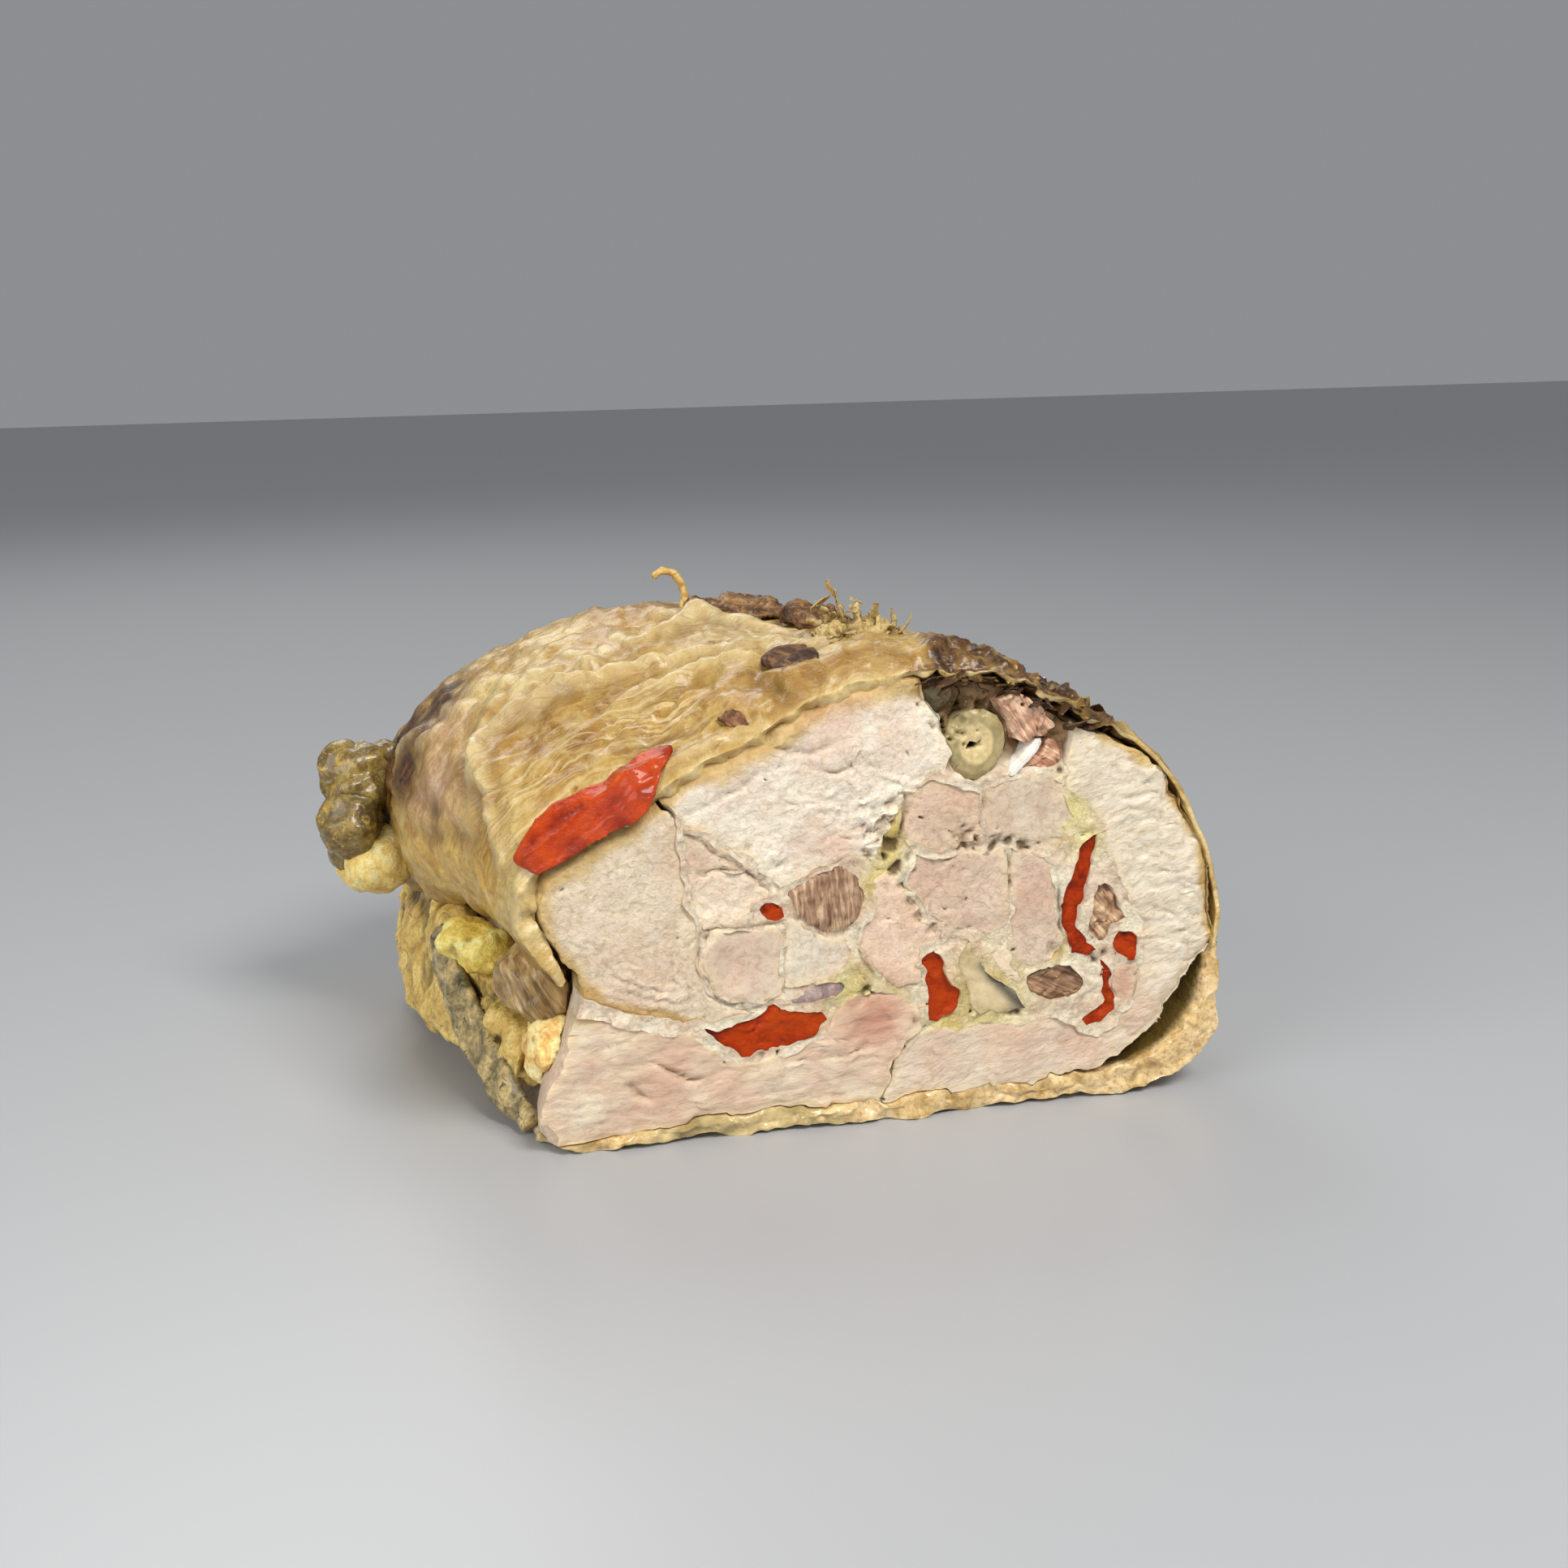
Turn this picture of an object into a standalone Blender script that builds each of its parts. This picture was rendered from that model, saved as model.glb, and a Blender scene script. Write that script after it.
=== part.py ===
"""Chicken and beef tongue roll, cut through to show its filling.

The cut face stands upright at the front and is read in millimetres: u runs
along the face to the right, z up from the table, and d is the depth behind
the face. Every layer and chunk starts as an outline on the cut face and runs
back through the food, leaning to the left as the roll does. The outer form
is a loft of free cross sections, and the skin is the shell around it.
"""

import math
import random

import bmesh
import bpy
from mathutils import Matrix, Vector, noise
from mathutils.bvhtree import BVHTree

MM = 0.001
GAP = 0.3            # clearance between touching pieces
LEAN = -0.25         # sideways drift of the filling for each mm of depth
LEAN_BELOW = -0.39   # the same for the skin below, which follows the right side
LENGTH = 140.0       # from the cut face to the closed end
SKIN_END = 2.6       # skin over the closed end
CENTRE_U, CENTRE_D = 40.556, 68.914   # the row's origin on the table, in u and d
EYE = Vector((-39.36, -359.69, 156.80))      # where the outside pieces were sighted from
SIGHT = Vector((0.2071, 0.9521, -0.2250))

# Cross sections of the whole roll: depth, a point inside, the outline (u, z).
FACE = [(108, 0), (-3, 0), (-8, 2), (-11.5, 7), (-10, 12), (-6.5, 18), (-4.5, 24), (-3, 29),
        (-1.5, 32.5), (-6.5, 36), (-10, 40), (-13.6, 45.5), (-14.5, 52), (-11, 57), (-3, 61.5),
        (6, 66), (13, 70), (20, 75), (30, 79), (38, 83.6), (45, 88.2), (53, 91), (62, 91.8),
        (71, 91.6), (82, 90), (92, 86), (99.4, 80.2), (105, 78), (111, 75.5), (117.5, 70),
        (122.5, 63), (127, 54), (129.3, 45), (130.3, 36), (130.9, 30.5), (131, 20), (131, 11),
        (127, 7.6), (121, 4), (114.5, 1.4)]
SECTIONS = [
    (0, (58, 45), FACE),
    (10, (57, 45), [(110, 0), (-6, 0), (-11, 7), (-8.5, 16), (-4, 26), (-2.5, 32.5), (-8, 37),
                    (-14.5, 44), (-16.5, 52), (-15.5, 60), (-10, 67), (-2, 71), (6, 74.5),
                    (14, 78), (24, 83), (34, 89), (44, 94), (54, 97), (64, 97.2), (76, 95.3),
                    (88, 91), (98, 83.4), (107, 77.4), (116, 71), (122.6, 62.6), (127.6, 50),
                    (130, 36), (130.8, 22), (130.4, 11), (122, 3.6)]),
    (25, (53, 45), [(110, 0), (-8, 0), (-7, 9), (-3.5, 19), (-1.5, 30), (-5, 37), (-13, 40.5),
                    (-19, 48), (-20.5, 57), (-18, 67), (-12, 74.5), (-3, 79.5), (8, 83.5),
                    (20, 88), (34, 92.6), (48, 96), (62, 96.6), (76, 94.6), (88, 90.4),
                    (98.6, 82.8), (109, 74.6), (117.6, 65.4), (124.2, 55), (127, 42),
                    (127.6, 28), (126, 13), (119, 3)]),
    (45, (47, 45), [(104, 0), (-12, 0), (-11, 10), (-8.5, 20), (-7.5, 30), (-12, 37.5),
                    (-21, 40.5), (-25, 48), (-26.5, 57), (-25, 67), (-20, 75.6), (-11, 83),
                    (1, 89.6), (15, 94.4), (30, 96.6), (45, 96.8), (60, 95.8), (74, 93),
                    (87, 88.4), (98, 81.4), (108, 72.5), (116, 61), (121, 50), (123, 37),
                    (122, 22), (115, 7)]),
    (70, (40, 45), [(94, 0), (-18, 0), (-18.5, 10), (-17, 20), (-16, 29), (-20, 35), (-28, 38),
                    (-33, 46), (-34.4, 55), (-32.6, 64), (-27.6, 73), (-19, 81.4), (-8, 89.4),
                    (5, 96), (20, 98.8), (36, 97.6), (53, 94.6), (69, 90.4), (83, 84.6),
                    (95, 76), (104, 65.5), (110, 53), (112, 40), (111, 24), (105, 8)]),
    (95, (34, 44), [(82, 0), (-20, 0), (-25, 10), (-25, 20), (-24.5, 28), (-28, 33), (-34, 38),
                    (-36.2, 46), (-36.4, 55), (-33.8, 63.4), (-28.4, 71.6), (-20.4, 79),
                    (-8, 86.2), (8, 92), (24, 93.4), (40, 91.6), (56, 88), (70, 82.6), (82, 75),
                    (92, 65.5), (99, 53.5), (102, 41), (101, 25), (94, 9)]),
    (118, (29, 42), [(66, 0), (-18, 0), (-29, 12), (-31, 26), (-33.5, 38), (-34.5, 50),
                     (-31, 59), (-24, 68), (-14, 75.6), (0, 81.6), (16, 84.6), (32, 84),
                     (48, 80.4), (62, 74.5), (74, 66.4), (83, 56), (88, 44), (89, 30), (85, 14)]),
    (133, (23, 38), [(48, 3), (-10, 3), (-23, 13), (-27, 28), (-27, 44), (-22, 57), (-13, 66),
                     (0, 71), (16, 72.6), (32, 71), (47, 66), (59, 58), (67, 47), (70.5, 33),
                     (66, 15)]),
    (140, (21, 33), [(32, 12), (8, 12), (-4, 17), (-9, 30), (-5, 45), (6, 53), (20, 55.4),
                     (34, 53), (44, 45), (49, 33), (44, 18)]),
]
RINGS = [0, 3, 9, 20, 36, 54, 73, 92, 108, 120, 130, 136.5, 140]

random.seed(11)


def smooth(points, steps):
    """A closed Catmull-Rom curve through the points."""
    out = []
    count = len(points)
    for i in range(count):
        a, b, c, d = (Vector(points[(i + k) % count][:2]) for k in (-1, 0, 1, 2))
        for s in range(steps):
            t = s / steps
            out.append(0.5 * (2 * b + (c - a) * t + (2 * a - 5 * b + 4 * c - d) * t * t
                              + (3 * b - a - 3 * c + d) * t ** 3))
    return out


def reach(outline, centre, angle):
    """How far the outline lies from the centre at an angle."""
    way = Vector((math.cos(angle), math.sin(angle)))
    best = 0.0
    for i, p in enumerate(outline):
        q = outline[(i + 1) % len(outline)]
        a, b = p - centre, q - centre
        cross_a = way.x * a.y - way.y * a.x
        cross_b = way.x * b.y - way.y * b.x
        if (cross_a <= 0) != (cross_b <= 0):
            t = cross_a / (cross_a - cross_b)
            best = max(best, (a + (b - a) * t).dot(way))
    return best


def angles_round():
    """Angles through every point of the face outline and halfway between."""
    centre = Vector(SECTIONS[0][1])
    at = [math.atan2(z - centre.y, u - centre.x) for u, z in FACE]
    out = []
    for i, a in enumerate(at):
        b = at[(i + 1) % len(at)]
        turn = (a - b) % math.tau
        parts = 6 if turn > 0.9 else 2 if turn > 0.2 else 1
        out += [a - turn * k / parts for k in range(parts)]
    return out


ANGLES = angles_round()
TABLE = []
for depth, middle, outline in SECTIONS:
    fine = [Vector(p) for p in FACE] if outline is FACE else smooth(outline, 6)
    middle = Vector(middle)
    TABLE.append((depth, middle, [reach(fine, middle, a) for a in ANGLES]))


def eased(values, depths, d):
    """A smooth curve through values at depths, without overshoot at the ends."""
    d = min(max(d, depths[0]), depths[-1])
    i = max(k for k in range(len(depths) - 1) if depths[k] <= d or k == 0)
    x0, x1 = depths[i], depths[i + 1]
    t = (d - x0) / (x1 - x0)
    slope = [0.0, 0.0]
    for k in (0, 1):
        j = i + k
        if 0 < j < len(depths) - 1:
            slope[k] = (values[j + 1] - values[j - 1]) / (depths[j + 1] - depths[j - 1])
        else:
            slope[k] = (values[i + 1] - values[i]) / (x1 - x0)
    h = x1 - x0
    return ((2 * t ** 3 - 3 * t * t + 1) * values[i] + (t ** 3 - 2 * t * t + t) * h * slope[0]
            + (3 * t * t - 2 * t ** 3) * values[i + 1] + (t ** 3 - t * t) * h * slope[1])


DEPTHS = [row[0] for row in TABLE]


def skin_at(i, d):
    """Thickness of the skin and its fat on ring point i, nothing where it is bare."""
    u, z = outer_flat[i]
    if z > 79 and u > 62:
        return 1.8
    if u > 100:
        return 1.1 + 0.02 * min(d, 60) if z > 31.5 else 0.0
    if z > 74:
        return 3.3
    if u < 13 and z > 35.5:
        return 4.8 if z < 62 else 4.2
    return 3.6 if z > 60 else 0.0


def ring(d, inset):
    """Points around the roll at one depth, moved in by inset(i, d)."""
    if d < 10:
        d = 10 * (1 - (1 - d / 10) ** 1.8)
    cu = eased([row[1].x for row in TABLE], DEPTHS, d)
    cz = eased([row[1].y for row in TABLE], DEPTHS, d)
    out = []
    for i, a in enumerate(ANGLES):
        r = eased([row[2][i] for row in TABLE], DEPTHS, d)
        z = cz + r * math.sin(a)
        if z < 0.25:
            r = cz / -math.sin(a)
        r -= inset(i, d)
        out.append((cu + r * math.cos(a), cz + r * math.sin(a)))
    return out


outer_flat = [(TABLE[0][1].x + r * math.cos(a), TABLE[0][1].y + r * math.sin(a))
              for a, r in zip(ANGLES, TABLE[0][2])]


def place(u, d, z):
    """Face coordinates in mm to the part's own frame in metres."""
    return Vector(((u - CENTRE_U) * MM, (d - CENTRE_D) * MM, z * MM))


def new_object(name, bm, colour=None, rough=0.5, group=None):
    """An object from a bmesh, in its collection, with its material."""
    bmesh.ops.recalc_face_normals(bm, faces=bm.faces)
    mesh = bpy.data.meshes.new(name)
    bm.to_mesh(mesh)
    bm.free()
    obj = bpy.data.objects.new(name, mesh)
    (group or parts).objects.link(obj)
    if colour:
        paint(obj, colour, rough)
    return obj


def paint(obj, colour, rough):
    """A material of the object's own."""
    material = bpy.data.materials.new(obj.name)
    material.use_nodes = True
    shader = material.node_tree.nodes["Principled BSDF"]
    linear = [((c / 255 + 0.055) / 1.055) ** 2.4 for c in colour]
    shader.inputs["Base Color"].default_value = (*linear, 1)
    shader.inputs["Roughness"].default_value = rough
    obj.data.materials.clear()
    obj.data.materials.append(material)


def loft(name, rings, **kw):
    """A closed body through rings of equal count, with flat ends."""
    bm = bmesh.new()
    rows = [[bm.verts.new(p) for p in points] for points in rings]
    for a, b in zip(rows, rows[1:]):
        for i in range(len(a)):
            j = (i + 1) % len(a)
            bm.faces.new((a[i], a[j], b[j]))
            bm.faces.new((a[i], b[j], b[i]))
    bm.faces.new(rows[0])
    bm.faces.new(list(reversed(rows[-1])))
    return new_object(name, bm, **kw)


def envelope(name, inset, front=0.0, end=0.0, **kw):
    """The roll's outer form, moved in by inset and shortened at the closed end."""
    rings = []
    for d in RINGS:
        back = d - end * max(d - 110, 0) / (LENGTH - 110)
        rings.append([place(u, back, z) for u, z in ring(d, inset)])
    if front < 0:
        rings.insert(0, [place(u, front, z) for u, z in ring(0, inset)])
    return loft(name, rings, **kw)


def moved_out(fine, grow):
    """The outline moved out by grow along its own normals."""
    area = sum(p.x * q.y - q.x * p.y for p, q in zip(fine, fine[1:] + fine[:1]))
    side = 1 if area > 0 else -1
    out = []
    for i, p in enumerate(fine):
        before = (p - fine[i - 1]).normalized()
        after = (fine[(i + 1) % len(fine)] - p).normalized()
        along = (before + after).normalized()
        spread = grow / max(along.dot(before), 0.5)
        out.append(p + Vector((along.y, -along.x)) * side * spread)
    return out


def chunk(name, points, front, back, grow=0.0, steps=2, taper=(), **kw):
    """An outline on the cut face extruded back through the food, leaning as it goes.

    taper lists (share of the depth, scale) for a piece that ends inside.
    """
    fine = smooth(points, steps)
    lean = LEAN_BELOW if points in (UNDER_SKIN, POCKET) else LEAN
    middle = sum(fine, Vector((0, 0))) / len(fine)
    stages = [(front, 1.0)]
    for share, scale in taper or [(1.0, 1.0)]:
        stages.append((back * share + (grow if scale < 1 else grow * 0.5), scale))
    rings = []
    for d, scale in stages:
        flat = moved_out([middle + (p - middle) * scale for p in fine], grow)
        rings.append([place(p.x + lean * d, d, p.y) for p in flat])
    return loft(name, rings, **kw)


def apply_all(obj):
    """Bake the object's modifiers into its mesh."""
    graph = bpy.context.evaluated_depsgraph_get()
    graph.update()
    mesh = bpy.data.meshes.new_from_object(obj.evaluated_get(graph))
    old = obj.data
    obj.modifiers.clear()
    obj.data = mesh
    bpy.data.meshes.remove(old)


def remove(objects):
    for obj in list(objects):
        bpy.data.objects.remove(obj)


def boolean(obj, kind, others, solver="EXACT"):
    """Cut, join or meet obj with the others, which are then removed."""
    group = bpy.data.collections.new("operands")
    bpy.context.scene.collection.children.link(group)
    for other in others:
        for home in list(other.users_collection):
            home.objects.unlink(other)
        group.objects.link(other)
    step = obj.modifiers.new(kind, "BOOLEAN")
    step.operation = kind
    step.solver = solver
    if len(others) == 1:
        step.object = others[0]
    else:
        step.operand_type = "COLLECTION"
        step.collection = group
    apply_all(obj)
    remove(others)
    bpy.data.collections.remove(group)
    return obj


def keep_largest(obj):
    """Drop loose scraps that a cut leaves, and weld what nearly touches."""
    bm = bmesh.new()
    bm.from_mesh(obj.data)
    bmesh.ops.remove_doubles(bm, verts=bm.verts, dist=0.000002)
    todo = set(bm.verts)
    islands = []
    while todo:
        stack = [todo.pop()]
        island = set(stack)
        while stack:
            for edge in stack.pop().link_edges:
                for vert in edge.verts:
                    if vert in todo:
                        todo.discard(vert)
                        island.add(vert)
                        stack.append(vert)
        islands.append(island)
    islands.sort(key=len, reverse=True)
    for island in islands[1:]:
        bmesh.ops.delete(bm, geom=list(island), context="VERTS")
    bmesh.ops.dissolve_limit(bm, angle_limit=math.radians(2), verts=bm.verts, edges=bm.edges)
    bmesh.ops.triangulate(bm, faces=bm.faces)
    bm.to_mesh(obj.data)
    bm.free()
    return len(islands)


for old in list(bpy.data.objects):
    bpy.data.objects.remove(old)
parts = bpy.data.collections.new("chicken_and_beef_tongue_roll")
cutters = bpy.data.collections.new("cutters")
bpy.context.scene.collection.children.link(parts)
bpy.context.scene.collection.children.link(cutters)


# Outlines on the cut face, in mm.
LEFT_BREAST = [(16.6, 66.6), (17.6, 61), (18.3, 54.5), (18.9, 49), (20, 44), (20.8, 38),
               (22.4, 31), (26, 27.4), (31, 25.9), (26, 25.2), (18, 25.3), (9, 27.2),
               (2, 30.6), (-4, 33.6), (-16, 36), (-36, 34), (-60, 50), (-60, 90), (-30, 104),
               (0, 84), (11.5, 73.5)]
TOP_BREAST = [(17.4, 67.4), (12.6, 74), (2, 86), (-28, 106), (20, 116), (64, 114), (66.4, 100),
              (66.6, 90), (67, 86.4), (70.4, 83.4), (71.2, 79), (72.6, 75.4), (71.8, 71.4),
              (67, 70), (63, 67.4), (61.2, 63.2), (59.2, 59.6), (57, 56.8), (50, 55.6),
              (44, 53.4), (38.2, 51.2), (35.6, 54), (31, 58.4), (25.6, 61.8), (20.6, 65)]
RIGHT_BREAST = [(97, 66.5), (96.9, 72), (98.8, 76), (99.6, 84), (106, 94), (134, 90),
                (150, 60), (150, 32), (129.2, 30.8), (126.4, 27.6), (122, 21.6), (117, 14.4),
                (112, 9.8), (105, 6.9), (96, 5.7), (84, 5.1), (72, 5.1), (58.8, 4.9),
                (58.8, 9), (61, 15), (66, 18), (75, 18.3), (86, 18.4), (94, 18.6), (98.6, 16.2),
                (101, 14), (104.6, 13.4), (108.4, 15.4), (109.6, 18.8), (112.6, 21), (114, 25.4),
                (114.8, 31.4), (113.8, 37.6), (110.8, 42.2), (107.6, 48), (105.5, 53.4),
                (104.8, 59), (101, 63)]
THIGH = [(-40, 24), (-4, 27.8), (3, 26), (10, 23.8), (17.6, 22.4), (21.4, 19.8), (25, 16.2),
         (30, 15.2), (36, 15.6), (41.6, 17.2), (46, 19.6), (49.2, 22.8), (52.4, 26.2),
         (57, 27.4), (62, 26.4), (65.2, 23.4), (65.4, 19.6), (61.4, 16.4), (58.4, 12),
         (57.9, 4.5), (45, 4.6), (33, 5.2), (22, 5.1), (11, 3.8), (0, 2.2), (-12, 2.2),
         (-50, 4)]
FILLING = [(-60, 27), (-5, 27.6), (12, 22.6), (20, 18.6), (34, 13), (50, 19), (60, 22),
           (64, 15), (84, 16.4), (98, 14), (102, 11.6), (112, 14), (118, 30), (114, 46),
           (108, 66), (104, 110), (63, 112), (63, 76), (54, 61), (40, 55), (27, 64),
           (18, 67.6), (15.6, 62), (16, 46), (17, 36), (7, 33), (-5, 37), (-60, 36)]
UNDER_SKIN = [(160, 30.9), (129.6, 30.4), (128.3, 24), (126.4, 17.6), (121, 10.6), (113, 6.3),
              (105, 5.2), (96, 4.9), (84, 4.4), (72, 4.3), (45, 4.1), (33, 4.6), (22, 4.5),
              (11, 3.2), (0, 1.6), (-12, 1.5), (-80, 1.5), (-80, -20), (160, -20)]
POCKET = [(107.5, 7.6), (113, 6.5), (121, 10.8), (126.2, 17.8), (128.1, 24), (129.3, 30),
          (126.6, 28.6), (123.2, 24.2), (118, 16.6), (112.6, 10.9)]

# What the filling holds: outline, front relief, depth, colour, roughness.
END = ((0.8, 1.0), (1.0, 0.7))
CHUNKS = {
    "pink_corner": ([(18.9, 64), (22, 62.8), (25, 60.4), (28.4, 57.8), (30, 56.2), (25, 55.9),
                     (19.7, 55.8), (19, 60)], 0.0, 62, (205, 178, 160), 0.5),
    "white_fillet": ([(19.8, 54.6), (25, 55), (30.6, 55), (34, 52.6), (36.4, 50.2),
                      (35.8, 48.9), (32.2, 48.4), (30.8, 45.4), (27.6, 43.8), (23.4, 43.5),
                      (21, 45), (20, 49.6)], 0.0, 88, (224, 213, 198), 0.5),
    "thigh_round": ([(22.3, 39), (24, 42), (28.4, 42.7), (33, 43), (36.6, 42.6), (38, 39),
                     (38, 33), (36.6, 29.4), (33, 27.6), (28.6, 28.4), (24.8, 30.8),
                     (22.4, 35)], 0.0, 80, (213, 190, 175), 0.5),
    "pale_middle": ([(39, 42.8), (41.6, 43), (44, 40.6), (47, 39.4), (50, 39.6), (51.8, 37.4),
                     (50.6, 34), (48.8, 31.8), (43, 31.2), (39.2, 32), (38.9, 37)],
                    0.0, 58, (212, 193, 176), 0.5),
    "grey_vein": ([(39.6, 27.9), (43, 29.7), (47.4, 30.2), (50, 29), (48.8, 27.2),
                   (44.4, 26.6), (41, 26.9)], 0.0, 26, (150, 128, 122), 0.3),
    "ham_chunk_upper": ([(63.9, 68.6), (68, 69.4), (73, 69.4), (78.2, 68), (78.8, 63),
                         (78.4, 59.2), (75.6, 57.8), (72, 56.8), (67.6, 56.4), (64.2, 57),
                         (63.2, 60), (62.8, 65)], 0.0, 74, (214, 182, 160), 0.5),
    "pale_chunk_upper": ([(79.6, 68.2), (84, 69.6), (89, 70), (93.6, 69.4), (96, 67.6),
                          (97, 64), (97.8, 61), (95, 57.8), (91, 56.8), (87, 57.6),
                          (83, 58.6), (79.9, 59.4), (79.7, 63)], 0.0, 64,
                         (216, 192, 168), 0.5),
    "ham_chunk_lower": ([(64.8, 54.6), (70, 55), (76, 55.4), (83.6, 54.4), (84.2, 50),
                         (84.4, 44), (83.8, 39), (79, 38.8), (74.6, 40), (70.8, 41),
                         (68, 44.2), (65.8, 48), (63.9, 52)], 0.0, 90, (213, 186, 168), 0.5),
    "pale_chunk_lower": ([(85.7, 54.6), (90.4, 53.4), (94, 51.2), (94.8, 46), (94.6, 40),
                          (95.4, 34), (93, 31), (89, 30.8), (86.4, 31.8), (85, 34.4),
                          (85.4, 38.6), (85.9, 44), (85.5, 50)], 0.0, 70,
                         (217, 192, 170), 0.5),
    "white_middle": ([(56.2, 50.4), (59, 52), (61.8, 50), (64.2, 46), (66.8, 41.8),
                      (70.8, 38.9), (71, 37.2), (66.6, 36.6), (64.9, 33), (64.9, 28.6),
                      (62, 28.6), (58, 31.2), (55.6, 33.8), (54.2, 37), (54.4, 41.6),
                      (56.8, 45.4)], 0.0, 96, (215, 199, 182), 0.5),
    "white_wedge": ([(80.8, 34), (83.8, 34.2), (84.6, 31.4), (86.4, 28.8), (86.4, 27.2),
                     (84.4, 28.6), (82, 31.4)], 0.2, 22, (228, 215, 196), 0.45),
    "pink_low": ([(108.4, 28.6), (111.8, 28), (112.4, 24.6), (111, 21.8), (109, 21.2),
                  (108.4, 25)], 0.0, 24, (203, 170, 152), 0.5),
    "tongue_chunk": ([(40, 50.2), (45, 52.4), (50.2, 54.2), (53, 51.6), (54.4, 47.6),
                      (53.2, 44), (50, 41.6), (46.6, 41.2), (43.8, 42.8), (41.4, 45),
                      (40, 48)], -0.3, 44, (138, 112, 98), 0.5),
    "tongue_low": ([(88.2, 27.6), (91, 29.2), (95, 29.4), (98.6, 28.6), (100.4, 26),
                    (99.8, 23), (96.8, 21.6), (93, 22.4), (89.8, 24.4)], 0.3, 34,
                   (128, 100, 84), 0.5),
    "tongue_right": ([(103.4, 46), (106, 44.6), (108.4, 41.2), (110, 38.2), (107.8, 37),
                      (106.2, 34.4), (104.6, 33.6), (102.1, 36.8), (102.7, 41)], 0.4, 30,
                     (176, 138, 114), 0.5),
    "tongue_shred": ([(82.8, 85.6), (85, 86.8), (88, 85.7), (92, 82.4), (94.2, 79.6),
                      (93, 78.2), (90, 78.4), (87.4, 77.6), (85.6, 77.8), (84.4, 82)],
                     -0.4, 36, (190, 148, 130), 0.5),
    "tongue_strip": ([(88, 72), (90.4, 74.6), (92.8, 76.4), (95.6, 75.6), (96, 73),
                      (94, 71.6), (90.8, 71.6)], 0.5, 26, (176, 136, 120), 0.45),
    "tendon": ([(84.6, 70.9), (87.4, 74.2), (90.2, 77.2), (91, 76.6), (88.4, 73.4),
                (86, 70.7)], -0.2, 20, (232, 226, 214), 0.25),
    "pepper_small": ([(33.2, 46.3), (35, 47.5), (37.8, 47.1), (38.9, 44.8), (36.4, 44.2),
                      (34.6, 44.8)], 0.5, 16, (156, 40, 20), 0.3),
    "pepper_low": ([(22, 23), (26, 23.4), (31.6, 24.8), (36, 26.4), (40, 24.8), (46, 24.4),
                    (47, 22.6), (44, 20.2), (38.6, 18.4), (33.4, 16.9), (28.6, 16.9),
                    (25.4, 19.8)], 0.6, 42, (190, 62, 22), 0.3),
    "pepper_middle": ([(66.4, 34), (69.6, 35), (72, 32), (73.4, 28), (73.9, 22.6), (71, 21.2),
                       (67.8, 20.6), (67.4, 26), (66.4, 31)], 0.6, 36, (176, 50, 22), 0.3),
    "pepper_long": ([(104, 57), (102.6, 52), (101.6, 47.4), (101, 42.6), (100.2, 37.4),
                     (101.8, 34), (103.6, 32), (101.2, 31), (98.8, 32), (97.6, 35.4),
                     (96.4, 39.4), (96.4, 44), (98, 48.8), (100.6, 53.6)], 0.5, 50,
                    (180, 56, 26), 0.3),
    "pepper_hook": ([(104.8, 30.2), (106, 29.4), (106.8, 26), (107.2, 21.4), (107, 18.6),
                     (105.4, 16.6), (102.8, 15.8), (101.4, 16.8), (103, 18.4), (104.6, 20.8),
                     (104.2, 25.4)], 0.6, 30, (172, 44, 24), 0.3),
    "pepper_dot": ([(107.8, 32.2), (109, 35.2), (111.6, 35.6), (113, 33), (112, 30.4),
                    (109.4, 30.9)], 0.4, 18, (160, 52, 32), 0.3),
    "olive_behind": ([(67.6, 87.2), (69.8, 89.2), (72.8, 89.2), (74.9, 87.4), (74.2, 85.2),
                      (71.6, 83.4), (69, 84.2)], 4.0, 20, (120, 106, 70), 0.35),
    "olive_wedge": ([(75.6, 36), (77.4, 33), (80.8, 28.8), (84.6, 24.8), (87.6, 21.8),
                     (84, 21.1), (78.8, 20.9), (76.1, 23), (75.7, 28), (74.6, 33)],
                    -0.2, 20, (150, 140, 96), 0.3),
}

# Chunks that press against a layer take its shape there.
TRIMMED = {"ham_chunk_upper": [TOP_BREAST], "olive_behind": [TOP_BREAST]}

# Big layers, each clear of those before it.
no_inset = envelope("outer", lambda i, d: 0.0, group=cutters)
inner = envelope("inner", skin_at, front=-4.0, end=SKIN_END, group=cutters)


def copy_of(obj):
    twin = bpy.data.objects.new(obj.name + "_copy", obj.data.copy())
    cutters.objects.link(twin)
    return twin


def layer(name, points, cuts, colour, rough, body=None, steps=1):
    """A layer running the whole length, clipped by the roll and its neighbours."""
    obj = chunk(name, points, -3, 150, steps=steps, colour=colour, rough=rough)
    boolean(obj, "INTERSECT", [copy_of(body or inner)])
    face = chunk("front", [(-200, -60), (300, -60), (300, 200), (-200, 200)], -60, 0,
                 steps=1, group=cutters)
    boolean(obj, "DIFFERENCE", [face])
    for c in cuts:
        boolean(obj, "DIFFERENCE", [chunk("grown", c, -6, 156, grow=GAP, steps=1, group=cutters)])
    return obj


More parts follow.
